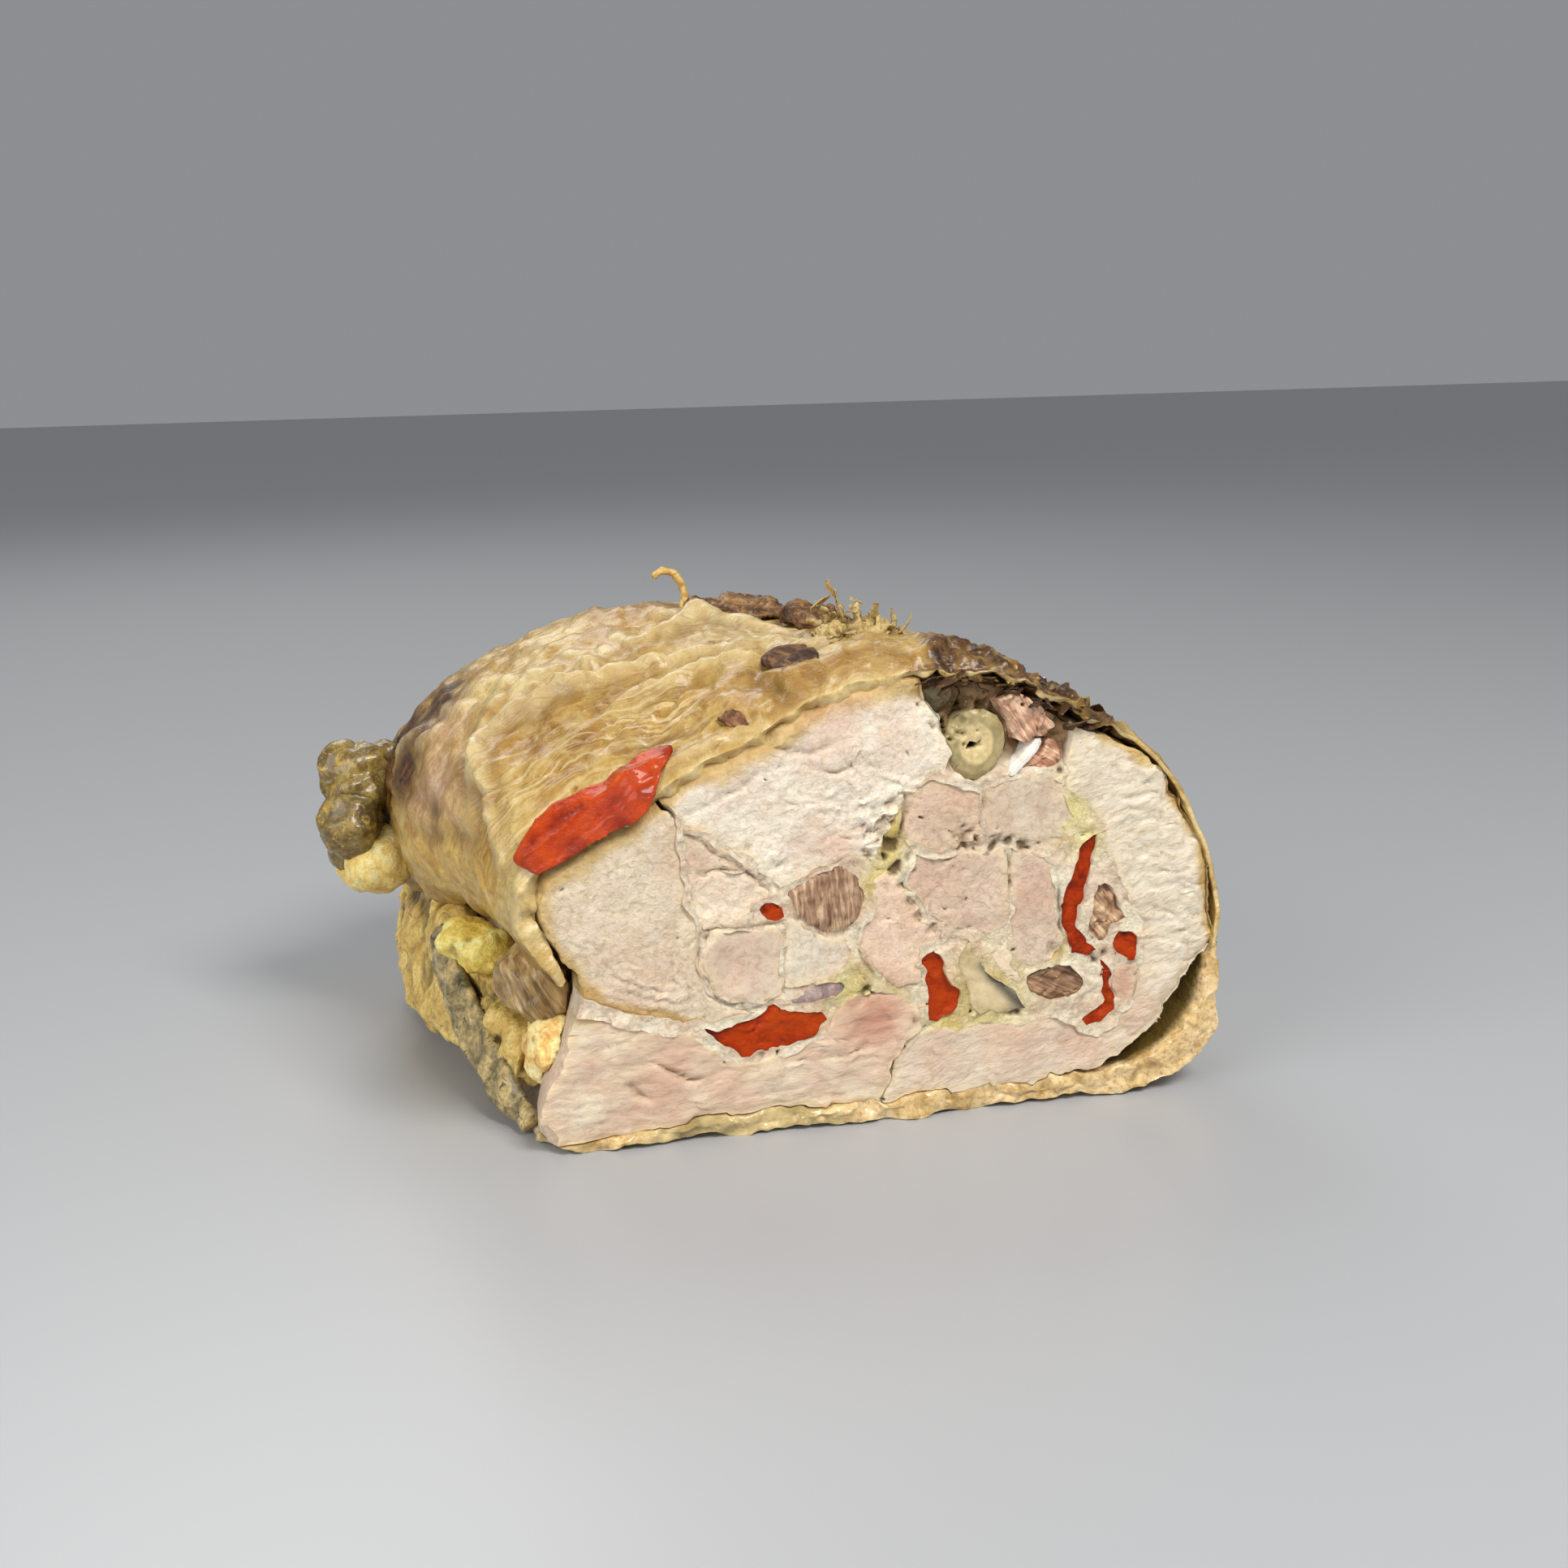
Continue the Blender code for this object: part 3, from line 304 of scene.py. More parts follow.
PITS = [(58.6, 62.6, 1.5), (59.8, 57.4, 1.2), (61.6, 53.6, 1.3), (60.2, 66.4, 1.0),
        (62.3, 49.4, 1.0), (75.4, 57.6, 1.5), (73.6, 58.4, 1.0), (81.4, 55.8, 0.9),
        (84.6, 56.4, 1.1), (87.8, 55.8, 1.0), (64.4, 45.4, 1.0), (65.8, 42.6, 1.1),
        (68.6, 39.8, 0.9), (55.8, 56.6, 0.8), (22.6, 41.6, 0.7), (58.4, 60, 0.9),
        (94.6, 32.6, 1.0), (86.6, 20.4, 0.9), (64.8, 20.4, 0.8), (54.6, 28.4, 1.0),
        (74.6, 82.2, 1.6), (79.6, 84.8, 1.3), (95.4, 70.6, 0.9), (33.4, 16.4, 0.9),
        (105.4, 31.4, 0.9), (103.4, 29.8, 0.8), (37.6, 55.4, 0.9), (31.4, 59.6, 0.8)]


def carve_face(obj, crumb=0.16, size=1.6, soft=0.3, rim=0.1, warp=0.85, grow=0.2, seed=1,
               shape=None, grain=0.62, deep=None):
    """Give a piece of the cut its relief: crumbs, cracks, pits and a soft edge.

    All pieces share the same warp and the same cracks, so neighbours still fit.
    """
    p = mm_of(obj.data)
    side = in_plane(normals_of(obj.data))
    p += side * grow
    put_mm(obj.data, p)
    scored(obj, grain, deep)
    mesh = obj.data
    p = mm_of(mesh)
    front_of = p[:, 1] < 6.5
    cap = np.zeros(len(p), bool)
    edge_points = set()
    for poly in mesh.polygons:
        if poly.normal.y < -0.55:
            cap[list(poly.vertices)] = True
    for poly in mesh.polygons:
        if poly.normal.y >= -0.55:
            for v in poly.vertices:
                if cap[v] and front_of[v]:
                    edge_points.add(v)
    tree = KDTree(max(len(edge_points), 1))
    for v in edge_points:
        tree.insert((p[v][0], 0, p[v][2]), v)
    tree.balance()
    to_rim = np.full(len(p), 9.0)
    for v in np.nonzero(cap & front_of)[0]:
        to_rim[v] = tree.find((p[v][0], 0, p[v][2]))[2]
    flat = np.column_stack([p[:, 0], np.zeros(len(p)), p[:, 2]])
    strength = 1 - fade(p[:, 1], 0.8, FRONT + 1.0)
    q = flat.copy()
    shift = np.column_stack([lumps(flat, 5.0, 40), np.zeros(len(p)), lumps(flat, 5.0, 44)])
    shift += 0.45 * np.column_stack([lumps(flat, 1.9, 48), np.zeros(len(p)),
                                     lumps(flat, 1.7, 52)])
    keep_floor = fade(p[:, 2], 0.5, 4.0)
    p[:, (0, 2)] += warp * (shift * strength[:, None])[:, (0, 2)] * keep_floor[:, None]
    swell = soft * lumps(q, 7.0, seed) + crumb * lumps(q, size, seed + 3, 3)
    cut = np.zeros(len(p))
    bent = q + 0.5 * shift
    for line, width, depth in CRACKS:
        line3 = [(u, 0, z) for u, z in line]
        far, along = near_line(bent, line3)
        open_ = depth * np.exp(-(far / width) ** 2) * np.sin(np.pi * (0.12 + 0.76 * along))
        cut = np.maximum(cut, open_ * (0.55 + 0.6 * ridges(q, 3.2, 71, 1)))
    ragged = lumps(q, 1.3, 57, 2)
    for u, z, r in PITS:
        far = np.hypot(bent[:, 0] - u, bent[:, 2] - z)
        far = far * (1 + 0.75 * ragged)
        cut = np.maximum(cut, 1.3 * r * np.exp(-(far / r) ** 2 * 1.2))
    edge = np.exp(-(to_rim / 0.55) ** 2)
    out = swell - cut - rim * edge
    if shape:
        out = out + shape(p, q, to_rim)
    p[:, 1] -= out * strength * np.where(cap | (p[:, 1] < 1.0), 1, 0.4)
    put_mm(mesh, p)
    set_value(obj, "rim", np.exp(-to_rim / 1.1) * strength)
    # The depth of the cracks and pits, for the painted shade in them.
    set_value(obj, "crack", np.clip(cut * 1.1, 0, 1) * strength)
    smooth_shade(obj, 60)
    return obj


# ---------------------------------------------------------------- materials

def linear(code):
    """An sRGB hex colour as linear values."""
    values = [int(code[k:k + 2], 16) / 255 for k in (0, 2, 4)]
    return [v / 12.92 if v <= 0.04045 else ((v + 0.055) / 1.055) ** 2.4 for v in values] + [1.0]


def add(tree, kind, inputs, out=0, stops=(), **settings):
    """Add one node with its settings and links, and return one of its outputs.

    A socket takes a number, a hex colour, another node's output, or a tuple of an output
    and the ramp's stops that it is read through.
    """
    node = tree.nodes.new("ShaderNode" + kind)
    for key, value in settings.items():
        setattr(node, key, value)
    if stops:
        while len(node.color_ramp.elements) < len(stops):
            node.color_ramp.elements.new(0.5)
        for element, (place, shade) in zip(node.color_ramp.elements, stops):
            element.position = place
            element.color = linear(shade) if isinstance(shade, str) else (*[shade] * 3, 1)
    for key, value in inputs.items():
        if isinstance(value, tuple) and hasattr(value[0], "links"):
            value = add(tree, "ValToRGB", {"Fac": value[0]}, stops=value[1:])
        if hasattr(value, "links"):
            tree.links.new(value, node.inputs[key])
        else:
            node.inputs[key].default_value = linear(value) if isinstance(value, str) else value
    return node.outputs[out]


def begin(name, roughness, ior, soft, depth, coat=0.0, coat_rough=0.1, shine=0.5):
    """Start a material from what the real one is: how rough it is, how far light soaks in
    (a share and a depth in mm), and how wet its coat is."""
    material = bpy.data.materials.new(name)
    material.use_nodes = True
    tree = material.node_tree
    sockets = tree.nodes["Principled BSDF"].inputs
    for key, value in {"Roughness": roughness, "IOR": ior, "Specular IOR Level": shine,
                       "Subsurface Weight": soft, "Subsurface Radius": (1.0, 0.55, 0.32),
                       "Subsurface Scale": depth * MM, "Coat Weight": coat,
                       "Coat Roughness": coat_rough}.items():
        sockets[key].default_value = value
    return material, tree, add(tree, "TexCoord", {}, "Object")


def surface(tree, here, patterns, carried=(), turn=(0, 0, 0), stretch=(1, 1, 1)):
    """The patterns of a surface, then the numbers that the piece carries on its points.

    Each pattern is its size in mm, its detail, its roughness and its twist. A grain that
    runs one way is turned, in degrees, and stretched.
    """
    if turn != (0, 0, 0):
        here = add(tree, "Mapping", {"Vector": here,
                                     "Rotation": [math.radians(a) for a in turn]})
    if stretch != (1, 1, 1):
        here = add(tree, "Mapping", {"Vector": here, "Scale": [1.0 / s for s in stretch]})
    return [add(tree, "TexNoise", {"Vector": here, "Scale": 1.0 / (size * MM), "Detail": detail,
                                   "Roughness": rough, "Distortion": twist})
            for size, detail, rough, twist in patterns] + [
        add(tree, "Attribute", {}, "Fac", attribute_name=key) for key in carried]


def laid(tree, tone, *layers):
    """Lay colours over a tone: each layer is where it shows, and its colour."""
    for share, colour in layers:
        tone = add(tree, "Mix", {0: share, 6: tone, 7: colour}, 2, data_type="RGBA")
    return tone


def complete(material, tone, gloss=None, relief=()):
    """Give a material its colour, its gloss (pattern, low, high) and its relief in mm."""
    tree = material.node_tree
    sockets = tree.nodes["Principled BSDF"].inputs
    tree.links.new(tone, sockets["Base Color"])
    if gloss:
        pattern, low, high = gloss
        tree.links.new(add(tree, "MapRange", {"Value": pattern, "To Min": low, "To Max": high}),
                       sockets["Roughness"])
    normal = None
    for height, depth in relief:
        under = {"Normal": normal} if normal else {}
        normal = add(tree, "Bump", {"Height": height, "Distance": depth * MM, **under})
    if normal:
        tree.links.new(normal, sockets["Normal"])
    return material


def colours():
    """The colours that the user set."""
    return bpy.context.scene.roll_colours


def sizes():
    """The sizes that the user set, in metres."""
    return bpy.context.scene.roll_sizes


def hexed(rgb):
    """A colour property as hex."""
    return "".join(f"{round(min(max(c, 0), 1) * 255):02x}" for c in rgb)


# Ramp stops for painted shade in the gaps of a fine pattern, and for a painted highlight on its
# tips.
GAPS, TIPS = ((0.34, 0.6), (0.52, 0.0)), ((0.60, 0.0), (0.78, 0.6))


def meat(name, light, dark, pink, crumb=0.9, bump=0.22, turn=(0, 0, 0), stretch=(1, 1, 1),
         tint=0.5, wet=0.45):
    """Cooked poultry cut across its grain.

    It looks like fine moist crumbs: light soaks in 1.6 mm and the gloss changes from crumb to
    crumb. Its dark tone is painted shade in the hollows and gaps, with more painted shade in
    the cracks, and a painted highlight pales the crumbs' tips.
    """
    material, tree, here = begin(name, wet, 1.4, 0.22, 1.6)
    broad, rim, fat, stain, crack = surface(tree, here, [(11.0, 3.0, 0.55, 0.0)],
                                            ("rim", "fat", "pink", "crack"))
    fine, middle = surface(tree, here, [(crumb, 5.0, 0.68, 0.5), (crumb * 3.4, 3.0, 0.6, 0.0)],
                           (), turn, stretch)
    edge = add(tree, "Math", {0: rim, 1: (middle, (0.35, 0.1), (0.62, 0.8))},
               operation="MULTIPLY")
    tone = laid(tree, light,
                (tint, (broad, (0.36, light), (0.62, pink))),
                # The dark tone as painted shade in the crumbs' hollows and gaps, and a painted
                # highlight on their tips.
                ((middle, (0.30, 0.32), (0.50, 0.0)), dark),
                ((fine, *GAPS), dark),
                ((fine, (0.60, 0.0), (0.78, 0.55)), "fbeac7"),
                (edge, "efd6a9"),
                (fat, (middle, (0.38, "d2b678"), (0.60, "bd9a55"))),
                (stain, (middle, (0.38, "d6a68c"), (0.60, "b98068"))),
                # Painted shade in the cracks and pits.
                ((crack, (0.2, 0.0), (1.0, 0.42)), "a48a66"))
    return complete(material, tone, (middle, wet - 0.12, wet + 0.14),
                    ((middle, bump * 0.8), (fine, bump * 1.7)))


def binding_finish():
    """Set jelly, fat and meat crumbs.

    It looks cream, yellow where fat gathers, moist and pitted: deep light, low gloss. Its colour
    holds painted shade in the fine pits, the cracks and the hollow under the fringe, and a
    painted highlight on the crumbs' tips; in the pits the jelly is darker too.
    """
    material, tree, here = begin("set_jelly_and_fat", 0.38, 1.38, 0.2, 1.8)
    broad, fine, yellow, dark, crack = surface(
        tree, here, [(6.0, 3.0, 0.55, 0.0), (1.2, 5.0, 0.7, 0.8)], ("yellow", "dark", "crack"))
    tone = laid(tree, (broad, (0.34, "ede3ca"), (0.50, "e7d5bc"), (0.66, "ddc2a8")),
                (yellow, (broad, (0.38, "e0d293"), (0.62, "c9b263"))),
                # Painted shade in the hollow under the fringe.
                (dark, (broad, (0.38, "a7865f"), (0.60, "5e482b"))),
                # Painted shade in the fine pits and a painted highlight on the crumbs' tips.
                ((fine, (0.36, 0.35), (0.52, 0.0)), "977a49"),
                ((fine, (0.58, 0.0), (0.72, 0.7)), "f4f0d8"),
                # Painted shade in the cracks and pits, over the pits' darker jelly.
                ((crack, (0.15, 0.0), (0.9, 0.85)), "5f451f"))
    return complete(material, tone, (fine, 0.22, 0.52), ((broad, 1.0), (fine, 0.6)))


def tongue_finish(name, base, light, dark, turn, size=0.8, wet=0.42, bump=0.35, pale=0.5):
    """Boiled tongue.

    It looks like coarse muscle fibres in brown and purplish grey, dull in the gaps and
    moist on top: the grain is nine times as long as it is wide. Its colour holds painted
    shade between the clumps and in the cracks, and a painted highlight on the clumps' tops.
    """
    material, tree, here = begin(name, wet, 1.4, 0.12, 1.2)
    fibre, = surface(tree, here, [(size, 3.0, 0.6, 0.35)], (), turn, (1, 3, 9))
    clumps, = surface(tree, here, [(size * 4, 3.0, 0.6, 0.4)], (), turn, (1, 1.5, 2.5))
    crack, = surface(tree, here, [], ("crack",))
    tone = laid(tree, (fibre, (0.30, dark), (0.50, base), (0.70, light)),
                # Painted shade between the clumps, a painted highlight on their tops, painted
                # shade in the cracks.
                ((clumps, (0.32, 0.75), (0.52, 0.0)), dark),
                ((clumps, (0.60, 0.0), (0.78, pale)), light),
                ((crack, (0.2, 0.0), (0.9, 0.8)), "3a2417"))
    return complete(material, tone, (clumps, wet - 0.16, wet + 0.16),
                    ((clumps, bump * 2.2), (fibre, bump)))


def pepper_finish(name, base, light, dark, wet=0.16, shine=0.14, coat=0.14):
    """Cooked red pepper.

    It looks wet and deep red: smooth flesh under a clear, sharp coat of its own juice. A
    painted highlight pales the tips of its fine relief.
    """
    material, tree, here = begin(name, wet, 1.42, 0.05, 1.5, coat, 0.05, shine)
    broad, fine, pale, rim = surface(tree, here, [(6.0, 3.0, 0.6, 0.0), (0.9, 4.0, 0.6, 0.0)],
                                     ("pale", "rim"))
    tone = laid(tree, (broad, (0.32, dark), (0.50, base), (0.70, light)),
                # A painted highlight on the tips of the fine relief.
                ((fine, (0.58, 0.0), (0.78, 0.6)), light),
                ((pale, (0.1, 0.0), (0.9, 0.4)), "b0442a"),
                ((rim, (0.3, 0.0), (1.0, 0.35)), dark))
    return complete(material, tone, (fine, wet * 0.6, wet * 1.8), ((broad, 0.9), (fine, 0.35)))


def skin_finish():
    """Cooked chicken skin.

    It looks thin, wet and yellow over its fat, finely wrinkled, and browned where it met
    the heat: light soaks in, and a thin coat of juice catches the lamps. Its colour also holds
    painted shade in its creases, fine lines, grooves and pits and beside its folds, and
    painted highlights on its wrinkles, fold crests and blisters.
    """
    c = colours()
    material, tree, here = begin("cooked_chicken_skin", 0.36, 1.42, 0.18, 1.8, 0.3, 0.2)
    (broad, patch, pores, line, run, cross, pull, cream, pink, yellow, brown, gold, crease,
     shade, crest, cut, dark) = surface(
         tree, here, [(16.0, 4.0, 0.6, 0.0), (5.0, 4.0, 0.65, 0.6), (0.9, 3.0, 0.6, 0.0),
                      (1.5, 3.0, 0.6, 0.3)],
         ("run", "cross", "drawn", "cream", "pink", "yellow", "brown", "gold", "crease",
          "shade", "crest", "cut", "dark"))
    # The finest wrinkles follow the skin's own directions, which it carries in mm.
    length, width, half_shade, half_crest = (
        add(tree, "Math", {0: value, 1: factor}, operation="MULTIPLY")
        for value, factor in ((run, 1 / 22.0), (cross, 1 / 1.15), (shade, 0.75), (crest, 0.6)))
    flow = add(tree, "CombineXYZ", {"X": length, "Y": width})
    wrinkle = add(tree, "TexNoise", {"Vector": flow, "Scale": 1.0, "Detail": 2.0,
                                     "Roughness": 0.5, "Distortion": 0.15})
    drawn = add(tree, "Math", {0: wrinkle, 1: pull}, operation="MULTIPLY")
    pale, main, toasted = (hexed(value) for value in (c.skin_pale, c.skin, c.skin_dark))
    tone = laid(tree, (broad, (0.34, pale), (0.50, main), (0.66, toasted)),
                ((patch, (0.35, 0.55), (0.55, 0.0)), pale),
                ((patch, (0.58, 0.0), (0.78, 0.5)), toasted),
                (cream, (patch, (0.4, "c8b789"), (0.6, "ad945f"))),
                (pink, (patch, (0.4, "d3b495"), (0.6, "b8926a"))),
                (yellow, (patch, (0.4, "e4c264"), (0.6, "cc9f40"))),
                (brown, (patch, (0.40, "5a3612"), (0.62, "2a1808"))),
                (gold, (patch, (0.4, "956a21"), (0.6, "734a11"))),
                # Painted shade in the fine creases and lines, and a painted highlight on the drawn
                # wrinkles.
                ((crease, (0.0, 0.55), (0.35, 0.0)), "6e4815"),
                ((line, (0.36, 0.3), (0.5, 0.0)), "8a5f20"),
                ((drawn, (0.47, 0.0), (0.60, 0.6)), "dcc690"),
                # Painted shade beside the folds and in the grooves, and a painted highlight on the
                # crests.
                (half_shade, "7a5a2a"),
                (half_crest, "dccb9c"),
                (cut, (patch, (0.4, "d8c28c"), (0.6, "bc9c5c"))),
                # Painted shade in the pits.
                (dark, "3b2814"))
    return complete(material, tone, (patch, 0.22, 0.50),
                    ((patch, 0.5), (drawn, 1.1), (line, 0.25), (pores, 0.15)))


def plain_food(name, light, base, dark, size=4.0, wet=0.4, bump=0.4, soft=0.2, coat=0.0,
               specks="", speck_share=0.0):
    """Fat, jelly, curled skin and soft scraps, each named for what it is.

    They look uneven and moist: three tones in patches, painted shade in the gaps, hollows and
    cracks, and a painted highlight on the tips.
    """
    material, tree, here = begin(name, wet, 1.4, soft, 1.8, coat)
    broad, fine, crack = surface(tree, here, [(size, 4.0, 0.65, 0.5), (0.9, 4.0, 0.65, 0.0)],
                                 ("crack",))
    # Painted shade in the gaps and a painted highlight on the tips of the fine relief.
    layers = [((fine, *GAPS), dark), ((fine, *TIPS), light)]
    if specks:
        spots, = surface(tree, here, [(size * 0.6, 3.0, 0.7, 1.0)])
        layers.append(((spots, (0.60 - speck_share, 0.0), (0.72 - speck_share, 0.9)), specks))
    tone = laid(tree, (broad, (0.33, dark), (0.50, base), (0.68, light)), *layers,
                # Painted shade in the hollows and cracks.
                ((crack, (0.2, 0.0), (0.9, 0.8)), "33240f"))
    return complete(material, tone, (broad, wet - 0.12, wet + 0.15),
                    ((broad, bump * 1.8), (fine, bump * 0.6)))


# ---------------------------------------------------------------- skin

SKIN_ROWS = 150
SKIN_COLUMNS = 300
BACK_PIVOT = 104.0     # depth where the rays start to swing round the closed end

# Soft spots on the skin: u, d, z, radius in mm and strength.
CREAM = [(12, 44, 92, 11, 0.6), (34, 46, 96, 12, 0.9), (43, 28, 96, 9, 1.0), (52, 17, 97, 8, 1.0),
         (61, 8, 96.5, 6, 0.9), (-4, 47, 87, 7, 0.7), (2, 38, 87, 6, 0.6), (26, 34, 93, 8, 0.6),
         (70, 20, 95, 10, 0.9), (84, 26, 89, 12, 0.7), (4, 62, 92, 12, 0.5)]
PINK = [(-25, 49, 68, 10, 1.0), (-23, 35, 62, 8, 1.0), (-22, 57, 76, 7, 0.8),
        (-28, 55, 61, 8, 0.9), (-22, 66, 76, 9, 0.7), (-30, 60, 54, 7, 0.5), (33, 8, 88, 3, 0.6)]
YELLOW = [(-23.5, 37, 52, 10, 1.0), (-18, 17, 51.6, 8, 1.0), (-29, 58, 48, 9, 0.9),
          (-23, 36, 54, 9, 0.9), (-18, 18, 59, 6, 0.6), (-26, 50, 45, 8, 1.0),
          (-19, 24, 50, 8, 0.7), (-20, 28, 62, 5, 0.7), (-19, 30, 70, 4, 0.6),
          (22, 58, 97, 7, 0.5)]
BROWN = [(-35, 86, 66, 13, 1.7), (-31, 71, 65, 7, 1.7), (-29, 73, 74, 8, 1.7),
         (-25, 77, 81, 8, 1.7), (-35, 84, 72, 8, 0.9), (-30, 88, 80, 9, 0.8),
         (-20, 92, 86, 10, 0.5), (-38, 96, 54, 7, 0.8), (90, 10, 89, 5, 0.95),
         (98, 6, 83, 5, 0.9), (82, 6, 92.6, 4.4, 0.8), (104, 8, 78, 5, 0.7),
         (74, 5, 94.4, 3.4, 0.5), (96, 22, 84, 8, 0.6), (88, 26, 89, 7, 0.4),
         (68, 0, 91.5, 2.6, 0.9), (37, 62, 98, 4, 0.8), (24, 62, 98, 5, 0.5),
         (108, 20, 76, 6, 0.6), (84, 90, 76, 12, 0.4), (20, 112, 90, 14, 0.45),
         (60, 80, 91, 8, 0.4)]
GOLD = [(54, 4, 94, 8, 0.85), (46, 4.5, 92, 7, 0.75), (61, 2, 93.5, 6, 0.8),
        (40, 2, 87, 4.4, 0.5), (36, 14, 91, 4.5, 0.7), (38, 8, 90, 3.4, 0.6),
        (30, 60, 97.5, 10, 0.5), (10, 18, 81, 4, 0.3), (100, 60, 76, 14, 0.5),
        (60, 60, 94, 12, 0.4), (-10, 104, 82, 12, 0.4)]
BLISTERS = [(-4.6, 48.6, 87.3, 2.6, 1.0), (7.2, 42.6, 90.7, 2.4, 1.6), (1.9, 38, 86.9, 3.0, 1.1),
            (5.8, 35.3, 87.7, 2.0, 0.9), (-7.4, 46.8, 85.2, 2.4, 0.8),
            (-12.5, 48.8, 82.5, 2.6, 0.9), (10.8, 45.7, 92.9, 2.6, 1.0),
            (-14.9, 63.7, 83.6, 3.0, 0.9), (-19.6, 62.1, 79.7, 3.0, 0.8), (0, 46, 88.6, 2.2, 0.9),
            (-9, 54, 86, 2.2, 0.8), (14, 50, 94.6, 2.4, 0.7), (-24, 62, 74, 2.6, 0.8),
            (-26, 66, 71, 2.4, 0.9), (-16, 42, 75, 2.4, 0.7), (16, 46, 94, 2.0, 0.7),
            (4, 50, 91, 2.0, 0.7), (-22, 70, 78.6, 2.2, 0.7)]
# Long folds: a line on the skin, its width, and its height (a groove is negative).
FOLDS = [
    ([(-14, 47, 81), (-16.5, 43.5, 77), (-16, 27.6, 70.7), (-15.5, 17.2, 64.7), (-15, 8.3, 58.7)],
     2.2, 1.0),
    ([(-20, 47, 76), (-19.4, 31, 69.6), (-19, 20, 63.6), (-18.4, 10, 57.6)], 2.4, -1.2),
    ([(-19.6, 26.5, 64.5), (-18.9, 31.8, 70), (-15.3, 38, 76.9), (-10, 39.4, 81.5),
    (0, 36.4, 85.6),
      (11.7, 34.6, 89.5), (26.7, 32.6, 93.1), (44.3, 26.6, 95.6)], 2.4, 1.7),
    ([(-22, 30, 64), (-21.4, 35, 70), (-18, 42, 77), (-12, 43, 82.5), (-1, 40, 87),
      (11, 38, 90.6), (26, 36, 94)], 1.8, -1.2),
    ([(10.2, 25.1, 84.5), (20, 24, 88.4), (28.8, 25.5, 91.6), (38, 22, 93.6)], 2.0, 1.2),
    ([(12, 22, 84), (21, 20, 87.6), (30, 20, 90.6)], 1.3, -0.8),
    ([(16.8, 45.2, 94.4), (26, 46, 96), (35.8, 53.2, 97.5)], 2.6, 1.3),
    ([(22, 58, 97.6), (30, 52, 97.4), (40, 44, 97.4), (50, 34, 97.2)], 2.2, 1.2),
    ([(34, 12, 90.4), (38.3, 7.1, 90), (40, 3, 87.5)], 2.4, -1.4),
    ([(33.5, 7.7, 87.8), (36.6, 14.6, 91.3), (44, 16, 94.5), (54, 14, 96.6),
    (64, 10, 96.8)], 1.6, -1.0),
    ([(-29.5, 58, 54), (-24, 40, 57), (-19, 20, 60)], 2.2, -0.7),
    ([(-30, 66, 61), (-27.9, 50.1, 59.9), (-25, 45, 60.5)], 2.2, -1.3),
    ([(13, 2.9, 74), (22, 3, 77.6), (32, 3, 81.6)], 1.0, 0.7),
    ([(8, 12, 79), (18, 9, 81.5), (28, 8, 85)], 1.4, -0.6),
    ([(-34, 84, 60), (-31, 76, 66), (-26, 72, 74)], 2.0, 0.9),
]
SKIN_PITS = [(-27.9, 50.1, 59.9, 2.4, 2.4), (-9.4, 15.4, 70.4, 1.1, 1.0),
             (2.4, 1.2, 63.6, 0.9, 1.4), (-2.4, 1.0, 53.4, 1.2, 2.2),
             (31.4, 11.4, 87.2, 0.9, 0.7)]


def skin_limits(d):
    """Angles about the roll's middle where the skin starts on the left and ends on the right."""
    mid_z = 44 - 0.075 * d
    left = math.atan2(35.0 - 0.02 * d - mid_z, -66.0 - 0.05 * d) % math.tau
    return left, math.atan2(31.5 - mid_z, 66.0)


def tree_of(*nodes):
    """CAD nodes as one search tree."""
    bm = bmesh.new()
    for node in nodes:
        bm.from_mesh(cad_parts[node].data)
    tree = BVHTree.FromBMesh(bm)
    bm.free()
    return tree


def skin_rays():
    """Where rays from the roll's middle leave the CAD skin, row by row from the front."""
    tree = tree_of("skin")
    beneath = tree_of("under_skin", "thigh_layer", "left_breast", "right_breast", "top_breast",
                      "binding")
    middles = np.zeros((SKIN_ROWS, 3))
    ways = np.zeros((SKIN_ROWS, SKIN_COLUMNS, 3))
    reach = np.zeros((SKIN_ROWS, SKIN_COLUMNS))
    for row in range(SKIN_ROWS):
        share = row / (SKIN_ROWS - 1)
        swing = max(share - 0.72, 0) / 0.28
        d = 0.06 + (BACK_PIVOT - 0.06) * min(share / 0.72, 1.0) ** 1.35
        tip = swing * math.pi / 2 * 0.99
        left, right = skin_limits(d)
        wide = min(swing * 1.5, 1.0) ** 1.5
        left += wide * (1.5 * math.pi - left)
        right += wide * (-0.5 * math.pi - right)
        middles[row] = (60 - 0.335 * d, d, 44 - 0.075 * d - swing * 3)
        start = metres(middles[row])
        for col in range(SKIN_COLUMNS):
            angle = left + (right - left) * col / (SKIN_COLUMNS - 1)
            way = Vector((math.cos(angle) * math.cos(tip), math.sin(tip),
                          math.sin(angle) * math.cos(tip)))
            ways[row, col] = way
            hit, _, _, far = tree.ray_cast(start + way * 0.2, -way)
            if hit is None or far > 0.185:
                hit, _, _, far = beneath.ray_cast(start + way * 0.2, -way)
                far = (far or 0.165) - 0.0004
            reach[row, col] = 200 - far / MM
    return middles, ways, reach


def middle_value(r, half=4):
    """Ray lengths without the flakes' spikes: the middle value of a small window."""
    padded = np.pad(r, half, mode="edge")
    views = [padded[a:a + r.shape[0], b:b + r.shape[1]]
             for a in range(0, 2 * half + 1, 2) for b in range(0, 2 * half + 1, 2)]
    return np.median(np.array(views), axis=0)


